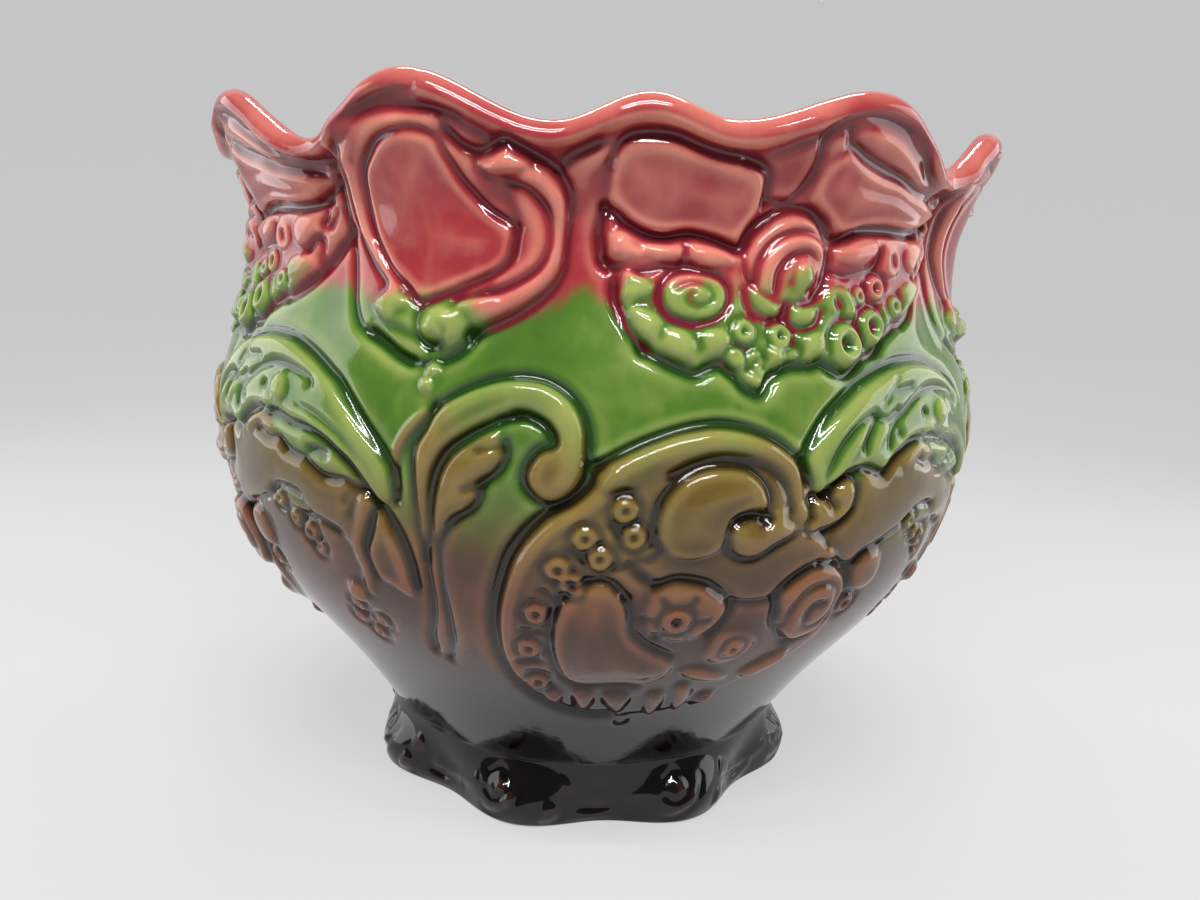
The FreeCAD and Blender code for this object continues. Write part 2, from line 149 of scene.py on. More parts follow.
class ReliefMap:
    """How far the relief stands out from the wall, on a grid of azimuth and height for one quarter.

    Rows are heights and columns are azimuths. What passes one side of the quarter comes in at the other.
    """

    def __init__(self, columns, low, high, step):
        self.azimuths = FIRST_AZIMUTH + np.arange(columns) * QUARTER / columns
        self.heights = np.arange(low, high + step, step)
        self.step = step
        self.scale = wall_radius(self.heights) * math.pi / 180.0       # millimetres in one degree
        self.lift = np.zeros((len(self.heights), columns))
        self.masks = {}

    def mask(self, name):
        """A named layer of the map, from 0 to 1, made on first use."""
        return self.masks.setdefault(name, np.zeros_like(self.lift))

    def windows(self, curve, margin):
        """The parts of the grid that lie within a margin of a curve, with the turn that brings it there."""
        rows = np.flatnonzero((self.heights > curve[:, 1].min() - margin)
                              & (self.heights < curve[:, 1].max() + margin))
        if not len(rows):
            return
        degrees = margin / self.scale[rows].min()
        for turn in (-QUARTER, 0.0, QUARTER):
            columns = np.flatnonzero((self.azimuths > curve[:, 0].min() + turn - degrees)
                                     & (self.azimuths < curve[:, 0].max() + turn + degrees))
            if len(columns):
                yield slice(rows[0], rows[-1] + 1), slice(columns[0], columns[-1] + 1), turn

    def distances(self, curve, margin):
        """For each window: the distance in mm to the curve, and how far along the curve, from 0 to 1."""
        along = np.linspace(0.0, 1.0, len(curve))
        for rows, columns, turn in self.windows(curve, margin):
            scale = self.scale[rows][:, None]
            across, up = self.azimuths[columns][None, :], self.heights[rows][:, None]
            best = np.full((up.shape[0], across.shape[1]), np.inf)
            where = np.zeros_like(best)
            for number in range(len(curve) - 1):
                (a0, z0), (a1, z1) = curve[number], curve[number + 1]
                dx, dz = (a1 - a0) * scale, z1 - z0
                px, pz = (across - a0 - turn) * scale, up - z0
                share = np.clip((px * dx + pz * dz) / (dx * dx + dz * dz + 1e-9), 0.0, 1.0)
                distance = (px - share * dx) ** 2 + (pz - share * dz) ** 2
                closer = distance < best
                best = np.where(closer, distance, best)
                where = np.where(closer, along[number] + share * (along[number + 1] - along[number]), where)
            yield rows, columns, turn, np.sqrt(best), where

    def depths(self, places, margin):
        """For each window of a closed outline: the distance to its edge, which is negative outside it."""
        curve = smooth_line(places, closed=True)
        for rows, columns, turn, distance, _ in self.distances(curve, margin):
            across, up = self.azimuths[columns][None, :] - turn, self.heights[rows][:, None]
            inside = np.zeros(distance.shape, bool)
            for (a0, z0), (a1, z1) in zip(curve[:-1], curve[1:]):
                if z0 != z1:
                    crosses = (up >= min(z0, z1)) & (up < max(z0, z1))
                    inside ^= crosses & (across < a0 + (up - z0) * (a1 - a0) / (z1 - z0))
            yield rows, columns, np.where(inside, distance, -distance)

    def raise_field(self, places, height, shoulder=2.0, dome=0.0, dome_width=9.0, lip=0.0, mask=None):
        """Lifts a closed field: its edge is a smooth step, with a dome inside and a fine rolled lip."""
        for rows, columns, depth in self.depths(places, 2.0 + shoulder):
            field = smoothstep(depth / shoulder + 0.15)
            self.lift[rows, columns] += height * field + dome * smoothstep(depth / dome_width)
            self.lift[rows, columns] += lip * np.exp(-((depth - 1.3) / 0.75) ** 2) * (depth > 0)
            if mask:
                layer = self.mask(mask)
                layer[rows, columns] = np.maximum(layer[rows, columns], smoothstep(depth / 2.0 + 0.5))

    def carve(self, places, depth=1.3, width=0.75, closed=False, taper=False):
        """Cuts a groove along a line, with a bell-shaped section. A tapered one thins towards both ends."""
        curve = smooth_line(places, closed)
        width = GROOVE_SPREAD * width
        for rows, columns, _, distance, where in self.distances(curve, 4 * width):
            strength = np.sqrt(np.clip(4 * where * (1 - where), 0, 1)) if taper else 1.0
            self.lift[rows, columns] -= strength * depth * np.exp(-(distance / width) ** 2)

    def roll(self, places, height=1.0, width=1.6, closed=False, taper=False):
        """Lays a rounded ridge along a line, with a bell-shaped section."""
        self.carve(places, -height, width, closed, taper)

    def boss(self, place, radius, height, squash=1.0, flat=0.6):
        """Sets a round knob on the map: a dome whose section is a raised cosine, flattened in its middle."""
        azimuth, level = place
        reach = np.array([(azimuth, level - radius), (azimuth, level + radius)])
        for rows, columns, turn in self.windows(reach, radius + 1.0):
            dx = (self.azimuths[columns][None, :] - azimuth - turn) * self.scale[rows][:, None]
            dz = (self.heights[rows][:, None] - level) * squash
            away = np.hypot(dx, dz) / radius
            self.lift[rows, columns] += height * smoothstep((1.0 - away) / flat)

    def ring(self, place, radius, height=0.9, width=0.8, pit=1.4, squash=1.0):
        """A berry: a rolled ring round a small pit, in a fine groove."""
        azimuth, level = place
        reach = np.array([(azimuth, level - radius), (azimuth, level + radius)])
        for rows, columns, turn in self.windows(reach, radius + 3.0):
            dx = (self.azimuths[columns][None, :] - azimuth - turn) * self.scale[rows][:, None]
            dz = (self.heights[rows][:, None] - level) * squash
            away = np.hypot(dx, dz)
            section = height * np.exp(-((away - 0.55 * radius) / width) ** 2)
            section -= 1.1 * np.exp(-((away - radius) / 0.8) ** 2)
            section -= pit * np.exp(-(away / (0.3 * radius)) ** 2)
            self.lift[rows, columns] += section

    def blurred(self, values, reach):
        """The values averaged with a bell-shaped weight of a reach in mm, round the quarter and upwards."""
        def weights(sigma):
            count = max(1, int(3 * sigma))
            offsets = np.arange(-count, count + 1)
            bell = np.exp(-0.5 * (offsets / sigma) ** 2)
            return offsets, bell / bell.sum()
        result = np.zeros_like(values)
        degrees = QUARTER / values.shape[1]
        for offset, weight in zip(*weights(reach / (self.scale.mean() * degrees))):
            result += weight * np.roll(values, offset, axis=1)
        padded_result = np.zeros_like(values)
        for offset, weight in zip(*weights(reach / self.step)):
            rows = np.clip(np.arange(values.shape[0]) + offset, 0, values.shape[0] - 1)
            padded_result += weight * result[rows]
        return padded_result


# ------------------------------------------------------------------ moulded motifs
#
# Every place is (azimuth in degrees, height in mm). The front of the pot is at azimuth 0.

def mould_neck(relief):
    """Panels, the C-scroll cartouche and the fold under the rim."""
    relief.raise_field([(-34.6, 187.4), (-33.7, 181.4), (-33.5, 175.4), (-32.6, 169.4), (-31, 165.1),
            (-29.2, 161.2), (-26.8, 156.5), (-28.5, 152.2), (-26.6, 148.4), (-23.1, 147.1),
            (-20.5, 145.4), (-17, 144.1), (-14.1, 147.5), (-11.1, 150.3), (-8.5, 153.1), (-5.9, 157),
            (-4.5, 161.2), (-4.1, 165.4), (-4, 169.6), (-3.8, 175.5), (-4.2, 179.7), (-5.5, 183.1),
            (-7.8, 186), (-10.5, 188.5), (-12.3, 186.9), (-14.1, 186.3), (-15.9, 187.5), (-17.4, 190.4),
            (-18.4, 193.7), (-22.7, 194.9), (-27.3, 194), (-31.7, 192.2)], 1.5, 2.2)
    field = [(-18.7, 189.6), (-20.4, 191.1), (-23.1, 191.3), (-25.9, 189.5), (-27.7, 186.7), (-29.4, 183),
            (-29.9, 178.7), (-29.8, 173.6), (-29.2, 168.5), (-27.9, 164.2), (-26, 159.8), (-23.3, 156),
            (-21.5, 153.4), (-18.9, 154.7), (-15.5, 157.6), (-12, 160.9), (-10.6, 163.8), (-10.2, 167.2),
            (-10.1, 170.6), (-10.8, 171.9), (-13, 174.4), (-14.9, 177.8), (-16.3, 180.8), (-17.3, 184.2),
            (-18, 186.7)]
    relief.raise_field(field, 0.2, 1.6, dome=1.5, dome_width=13.0, lip=0.5)
    relief.carve(field, 1.5, 0.8, closed=True)
    relief.roll([(-23, 192.9), (-25.8, 192.3), (-28.6, 189.8), (-30.5, 186.4), (-31.6, 182.2),
            (-31.8, 175.4), (-31, 168.9), (-29.4, 164.2), (-27.5, 159.9), (-25, 156)], 0.8, 1.3)
    relief.carve([(-20.3, 198.8), (-24.1, 197.7), (-26.9, 196), (-30.2, 193.1), (-32.6, 188.2),
            (-33.7, 181.4), (-33.5, 175.4), (-32.6, 169.4), (-31, 165.1), (-29.2, 161.2), (-26.8, 157.3)],
            1.1, 0.75)
    relief.carve([(-15.6, 192.9), (-17.5, 194.1), (-20.1, 194.4), (-22.9, 194), (-25.8, 192.7),
            (-28.2, 190.4), (-30, 187.2), (-31, 184.3)], 0.9, 0.65)
    relief.carve([(-35.5, 183.6), (-35.8, 179.4), (-35.8, 174.8), (-35.2, 169), (-34.3, 164.3),
            (-33.4, 158.5), (-32.3, 152.7), (-30.8, 148.7), (-29.3, 146.6), (-26.5, 144.6),
            (-24.2, 142.5), (-21.6, 140.4)], 1.5, 1.0)
    relief.carve([(-28.2, 146.3), (-25.6, 143.8), (-22.9, 141.2), (-20.4, 140.4), (-18.2, 140.8),
            (-16.1, 142.5), (-14.9, 144.5), (-14.1, 147)], 1.7, 1.2)
    relief.carve([(-38.5, 192), (-37, 172), (-35.8, 152)], 1.5, 7.5)
    relief.carve([(-17.7, 190.8), (-15.9, 187.5), (-13.7, 186.2), (-11.9, 187.3), (-10.7, 189.1),
            (-9.2, 187.7), (-6.9, 184.7), (-5.5, 183.1), (-4.2, 179.7), (-3.8, 175.5), (-4, 169.6),
            (-4.1, 165.4), (-4.5, 161.2), (-5.9, 157), (-8.5, 152.8), (-11.1, 149.9), (-13.2, 147.9),
            (-14.5, 147)], 1.5, 0.9)
    relief.carve([(-5.1, 183), (-3.3, 186.3), (-1.5, 187.9), (-0.6, 188.7)], 1.1, 0.8)
    relief.raise_field([(-14.4, 184.5), (-12.8, 186.5), (-10.8, 187.6), (-9.2, 186), (-8.1, 184.2),
            (-9.6, 183.3), (-12.3, 182.6), (-13.6, 183.1)], 1.1, 1.6, dome=0.6, dome_width=3.0)
    relief.carve([(-14.6, 184.4), (-13.4, 182.6), (-11.8, 182), (-9.6, 182.7), (-7.8, 183.8)], 0.9, 0.7)
    relief.carve([(-10.7, 181.1), (-8.6, 180.2), (-7.3, 178.1), (-6.1, 174.7), (-5.7, 170.5),
            (-5.9, 166.3), (-6.8, 162.5), (-8.5, 159.6), (-11.1, 157.1), (-14.6, 155), (-16.7, 154.2)],
            1.5, 0.8)
    relief.roll([(-11.4, 183.2), (-8.2, 181.9), (-5.9, 178.9), (-4.8, 174.7), (-4.7, 167.9), (-5.3, 162),
            (-7.6, 157), (-11.1, 153.3), (-15.4, 151.2)], 1.6, 2.2)
    relief.roll([(-10.2, 178.2), (-8.6, 175.6), (-7.4, 170.5), (-7.7, 164.6), (-9.4, 160.4),
            (-12.4, 157.9)], 1.3, 2.4, taper=True)
    relief.carve([(-10.9, 178.6), (-10, 173.9), (-9.2, 169.7)], 0.8, 0.7, taper=True)
    relief.boss((-18.2, 148.3), 5.7, 2.9, flat=0.8)
    relief.carve([(-17.5, 147.1), (-17.9, 145), (-19.2, 144.4)], 2.2, 1.0)
    relief.carve([(-21.2, 152.6), (-21.6, 149.6), (-21.2, 146.7), (-19.6, 143.7)], 1.0, 0.7)
    relief.carve([(-15.4, 151.8), (-14.5, 149.1), (-14.7, 146.2)], 0.9, 0.7)
    relief.raise_field([(-28, 153.1), (-25.9, 155.6), (-23.3, 154.3), (-22.4, 153), (-24.1, 150.5),
            (-25.3, 148.8), (-26.6, 149.7), (-28, 151.4)], 0.8, 1.5, dome=0.8, dome_width=3.5)
    relief.raise_field([(-16.6, 153.8), (-14.6, 155.9), (-11.1, 155.4), (-12.8, 152), (-14.5, 150.8),
            (-15.9, 151.7)], 0.7, 1.2, dome=0.6, dome_width=3.0)
    relief.boss((-18.6, 139.4), 2.0, 1.9)
    relief.boss((-19, 135.6), 1.8, 1.7)
    relief.raise_field([(0.6, 184.6), (1.3, 187.9), (2.6, 189.9), (4.9, 190.5), (7.6, 190.2),
            (10.4, 188.6), (13.1, 187.4), (15.8, 186.6), (17.7, 185.7), (18.6, 184.1), (18.9, 181.1),
            (19, 178.6), (18.7, 176.5), (17.7, 173.5), (17, 170.6), (16.7, 168.9), (12.7, 170.6),
            (10.1, 171.5), (7.4, 170.7), (4.7, 171.6), (3, 173.3), (1.6, 175.4), (0.5, 176.4)], 1.2, 2.0,
            dome=1.1, dome_width=9.0, lip=0.45)
    relief.carve([(0.6, 184.6), (1.3, 187.9), (2.6, 190), (4.9, 190.8), (7.6, 190.6), (10.4, 188.9),
            (13.1, 187.8), (15.9, 187), (17.7, 186.1)], 1.1, 0.75)
    relief.roll([(-2.7, 178.8), (-2, 183), (-0.2, 186.7), (0.7, 189.9), (2.3, 192.6), (4.8, 193.5),
            (7.6, 193.1), (10.3, 191.3), (14, 190.2), (17.7, 189.9), (20.9, 191.1)], 0.8, 1.5, taper=True)
    relief.carve([(0.3, 175.8), (1.6, 174.6), (3.4, 172), (5.6, 170.3), (7.8, 170.1), (10.1, 171.1),
            (12.7, 170.6), (14.9, 169.3), (16.7, 168.3), (17.4, 169.3), (18.1, 171.8), (20, 175.2),
            (22.4, 177.3), (24.7, 177.8), (26.9, 176.5), (28.6, 173.9), (29.9, 171.3), (31.7, 171.5),
            (34.6, 173.8), (37.7, 174.2), (41.7, 174.3), (45.2, 174.1), (49.7, 174.7), (51.8, 176.6),
            (53.2, 178.2), (54.1, 179.8)], 1.5, 0.9)
    relief.carve([(19.2, 178.6), (19.3, 182.8), (18.6, 185.3), (15.8, 186.6)], 1.2, 0.75)
    relief.carve([(19.4, 178.9), (22, 179), (23.4, 180.3), (24.4, 183.7), (25, 187.9), (24.5, 191.1),
            (24.7, 194.3), (26.2, 196.6), (28.3, 198), (30.5, 198.4), (33, 198), (35.9, 197), (38.9, 195),
            (41, 192), (43.6, 187.8), (47.7, 185.2), (51.7, 183.9), (54.8, 183.5)], 1.2, 0.8)
    relief.carve([(27.5, 194.3), (28.1, 192.4), (29.8, 190.9), (32.2, 189.4), (35.3, 188), (39.2, 186.6),
            (42.6, 184.9), (47.2, 182.9), (52.5, 181.2)], 1.2, 0.8)
    relief.roll([(27.2, 195.5), (30.3, 194.8), (34, 193.2), (37.5, 190.8), (41.4, 187.4), (45.3, 184.9),
            (50, 183)], 1.1, 1.9, taper=True)
    relief.raise_field([(24.9, 186.6), (26.2, 186.2), (27.5, 189.6), (27.5, 194.3), (26.1, 193.1),
            (25.4, 189.5)], 0.5, 1.0)
    relief.raise_field([(25.3, 180.3), (25.6, 186.2), (27.5, 190.4), (28.9, 191.2), (31.8, 188.7),
            (35.6, 186.8), (39.5, 185.9), (43.3, 183.8), (48, 181.9), (52.1, 180.4), (53, 179.4),
            (51, 177.4), (48.5, 175.5), (44, 174.9), (40, 175.5), (35.9, 175.1), (30.8, 173),
            (28.7, 175.8), (26.3, 178.6)], 1.1, 1.8, dome=1.0, dome_width=8.0, lip=0.4)


def mould_spray(relief):
    """The flower spray: a rose, petals, leaves and ring berries, with a deep groove round it."""
    relief.raise_field([(0.7, 164.5), (1.2, 169.9), (2.9, 172), (5.6, 169.9), (7.8, 169.7), (10.1, 170.7),
            (12.7, 170.2), (14.9, 169), (16.8, 168), (18.1, 171.8), (20, 175), (22.4, 177.1),
            (24.7, 177.4), (26.9, 176.1), (28.5, 173.5), (29.9, 171.2), (31.7, 171.3), (34.5, 173.3),
            (37.7, 174), (41.7, 174.1), (45.2, 173.9), (49.7, 174.4), (51.8, 176.2), (53.6, 178.4),
            (54.6, 174), (54.6, 168.5), (53.4, 166), (51.7, 162.9), (50, 159.6), (47.3, 155.6),
            (44.4, 153), (42, 151.8), (39.1, 148.8), (37.1, 145.8), (35.3, 144.7), (33, 142.4),
            (31.2, 140.8), (29.2, 142.1), (27.5, 143.8), (25.8, 143.1), (22.8, 143.2), (20.6, 141.2),
            (19.7, 138.7), (18.6, 137), (17.1, 138.3), (15.9, 140.8), (14.2, 143.2), (12.5, 142.6),
            (11.2, 141.4), (9.1, 142.6), (7, 144.4), (5.3, 146.2), (2.9, 150.1), (2.2, 154.3),
            (1.8, 158.5)], 1.5, 2.0, mask="spray")
    relief.carve([(5.3, 145.9), (7, 144.2), (9.1, 142.3), (11.2, 141.2), (12.5, 142.4), (14.2, 143),
            (15.9, 140.6), (17.1, 138.1), (18.6, 136.8), (19.7, 138.4), (20.6, 140.9), (22.8, 142.9),
            (25.8, 142.8), (27.5, 143.6), (29.1, 141.9), (31.2, 140.5), (33, 142.2), (35.3, 144.6),
            (37.5, 145.8), (39.5, 149.2), (42.5, 151.7), (44.6, 152.4), (47.7, 155.2), (50.4, 159.6),
            (52.1, 162.9), (53.8, 166), (55.2, 168.5)], 1.7, 1.3)
    relief.carve([(0.3, 175.8), (-0.3, 170.4), (0.2, 164.5), (2, 161.9), (1.8, 158.5), (2.4, 154.3),
            (5.3, 145.9)], 1.6, 1.1)
    # rose
    relief.raise_field([(17.5, 165.9), (18.1, 170.1), (20, 174.4), (22.8, 176.5), (25.5, 176.1),
            (28.1, 173.5), (29.6, 169.2), (29.5, 164.9), (28.9, 160.6), (27.3, 157.6), (25, 156.2),
            (22, 156.5), (19.5, 158.4), (17.8, 161.6)], 0.9, 1.8, dome=0.9, dome_width=8.0)
    relief.carve([(18, 161.2), (17.5, 165.9), (18.5, 170.6), (20.4, 174.4)], 1.0, 0.7)
    relief.carve([(29.7, 169.2), (29.5, 164.9), (28.8, 160.6), (27.3, 157.7), (25.1, 156.4)], 1.2, 0.8)
    relief.carve([(18.7, 160.8), (19.1, 165.9), (20.8, 170.5), (23.5, 173.1), (26.3, 173.1),
            (28.5, 170.5), (28.9, 165.8), (28.3, 161.5), (27, 158.5)], 1.5, 0.8)
    relief.roll([(20.2, 160.7), (20.6, 165.8), (22.2, 170.1), (24.9, 171.2), (27, 169.4), (27.6, 164.9)],
            0.6, 1.1)
    relief.carve([(21.4, 158.6), (21.7, 163.3), (23.4, 167.1), (25.7, 168.4), (27.5, 166.2),
            (27.5, 161.9), (25.8, 158.9)], 1.3, 0.8)
    relief.boss((25, 163.2), 4.5, 1.3, squash=0.8, flat=0.8)
    relief.carve([(23.4, 160.7), (24.1, 165), (26, 166.1), (26.6, 163.2)], 0.9, 0.6)
    # leaves under the rose
    relief.raise_field([(18, 160.4), (19.4, 158.2), (21.5, 155.6), (21.2, 153.5), (19.8, 154.4),
            (18.4, 157.4)], 0.9, 1.1, lip=0.4)
    relief.raise_field([(23.5, 155.4), (25.3, 155.9), (27.2, 155.3), (26.7, 152.9), (25.4, 151.5),
            (23.6, 152.2)], 0.9, 1.2, lip=0.4)
    relief.carve([(17.3, 159.1), (17.9, 154.8), (19.6, 152.8), (21.6, 152.4), (22.9, 153.9)], 1.2, 0.8)
    relief.carve([(22.9, 156), (22.9, 152.2), (24.7, 150.4), (26.9, 151.5), (28.1, 154.6)], 1.2, 0.8)
    # petals at the upper left
    relief.raise_field([(0.5, 170.4), (2.1, 171.4), (3.8, 168.6), (5.6, 166.7), (4.6, 165.2),
            (2.4, 164.9), (0.9, 166.1)], 0.9, 1.4, dome=0.7, dome_width=3.0)
    relief.raise_field([(5.1, 168.3), (7.4, 169.1), (9.6, 167.9), (9.4, 165.5), (7.3, 164.7),
            (5.9, 165.7)], 0.8, 1.4, dome=0.6, dome_width=3.0)
    relief.raise_field([(10.5, 168.4), (12.7, 169), (15.3, 167.9), (16.1, 165.5), (14.3, 163.9),
            (11.7, 164.1), (10.5, 165.8)], 0.9, 1.4, dome=0.7, dome_width=3.0)
    relief.carve([(0.2, 164.5), (2, 163.6), (3.7, 162.3), (5.5, 162.7), (7.3, 163.5), (10.8, 164.3)], 1.3,
            0.8)
    relief.carve([(9.9, 169.5), (10, 166.8), (9.7, 164)], 1.0, 0.6)
    # green flower
    relief.raise_field([(7.2, 159.7), (8.7, 162.1), (11.3, 162.8), (13.9, 161.7), (15.1, 159.1),
            (15, 155.8), (13.7, 152.9), (11.3, 151.5), (8.7, 152.6), (7.3, 155.4)], 0.9, 1.5, dome=0.9,
            dome_width=5.0)
    relief.carve([(7.2, 159.7), (8.7, 162.3), (11.3, 163.1), (14.1, 161.9), (15.4, 159.1), (15.3, 155.7),
            (13.9, 152.7), (11.3, 151.2), (8.5, 152.3), (7, 155.4)], 1.2, 0.7, closed=True)
    relief.carve([(8.9, 158.8), (10.7, 160.4), (12.8, 159.2), (13.2, 156.6), (11.5, 155), (10.1, 156.3),
            (10.9, 158)], 1.1, 0.6)
    relief.raise_field([(2.4, 163.6), (2.8, 159.4), (2.3, 156), (4.5, 156), (6.5, 158.4), (4.6, 161.9)],
            0.9, 1.3, dome=0.5, dome_width=3.0, lip=0.3)
    # lobes under the flower
    relief.raise_field([(3.3, 153.9), (5.4, 154.5), (7.3, 152.5), (7.4, 149.6), (6, 147.5), (4.1, 149.3)],
            0.8, 1.3, dome=0.6, dome_width=3.0)
    relief.raise_field([(7.6, 150.5), (10, 150.3), (11.3, 147.4), (10.9, 144.3), (9.2, 143.8),
            (7.4, 146.3)], 0.8, 1.3, dome=0.6, dome_width=3.0)
    relief.raise_field([(12.1, 150.4), (14.4, 150.6), (15.7, 148.2), (14.7, 145.7), (12.7, 145.4),
            (11.7, 147.4)], 0.8, 1.3, dome=0.5, dome_width=3.0)
    # pit in its lobe
    relief.raise_field([(29.2, 158.9), (29.3, 155.5), (31.1, 153.4), (33.3, 153.6), (34.1, 156.6),
            (33.2, 159.7), (30.9, 160.6)], 0.9, 1.4, dome=0.4, dome_width=3.0)
    relief.carve([(30.7, 157.1), (31.2, 155.6)], 1.9, 1.2)
    # ring berries
    for place, radius in (((31.6, 147.3), 5.8), ((36.6, 151.2), 5.2), ((21.8, 149.3), 3.5),
            ((38.1, 160.5), 3.7), ((34.9, 158.6), 2.8), ((17.1, 150), 3.1)):
        relief.ring(place, radius, height=1.1, width=1.0)
        relief.carve([place, (place[0], place[1] - 0.2)], 0.5, 0.9)
    for place, radius in (((16, 144.4), 1.8), ((18.3, 143.9), 1.6), ((19.2, 142.2), 1.4), ((18.5, 140.4),
            1.6)):
        relief.ring(place, radius + 0.8, height=0.8, width=0.7)
    relief.boss((21, 144.8), 2.3, 1.2, squash=0.7)
    relief.carve([(23.6, 147.9), (24.5, 146.5), (24.5, 145.1)], 1.4, 0.9)
    relief.raise_field([(25.6, 150.1), (27.6, 150), (28.1, 147.4), (26.9, 145), (25.1, 145.7)], 0.8, 1.3)
    # petals at the right
    relief.raise_field([(31.1, 170.6), (34.1, 172.3), (37.3, 172.8), (38.5, 169.6), (36.1, 166.1),
            (32.8, 165.4), (30.8, 167.5)], 0.9, 1.6, dome=0.8, dome_width=4.0)
    relief.raise_field([(39.7, 171.3), (42.5, 171.1), (43.7, 167.4), (42.7, 163.6), (40.1, 163.4),
            (38.8, 167)], 0.9, 1.5, dome=0.6, dome_width=4.0)
    relief.carve([(41.4, 168.3), (41.8, 166.4)], 1.6, 0.9)
    relief.raise_field([(45.4, 172), (49.6, 173), (50.4, 169.5), (48.8, 165.6), (46, 164.4), (44.2, 168)],
            0.9, 1.5, dome=0.7, dome_width=4.0)
    relief.raise_field([(45, 162.6), (48.4, 163.2), (50, 160), (47, 157), (44, 156.4), (43.4, 159.8)],
            0.8, 1.4, dome=0.6, dome_width=3.5)
    relief.carve([(50.5, 170.7), (51.9, 175.2), (53.1, 173.1), (51.8, 170)], 1.6, 0.9)
    relief.carve([(47.8, 163.8), (49.1, 166.8), (50.4, 165.7), (49.8, 161)], 1.5, 0.9)
    relief.ring((42.2, 156.2), 3.2)
    relief.carve([(30, 164.4), (32.6, 163.1), (35.8, 164.3), (38.4, 166.2), (39.1, 169.9)], 1.1, 0.7)


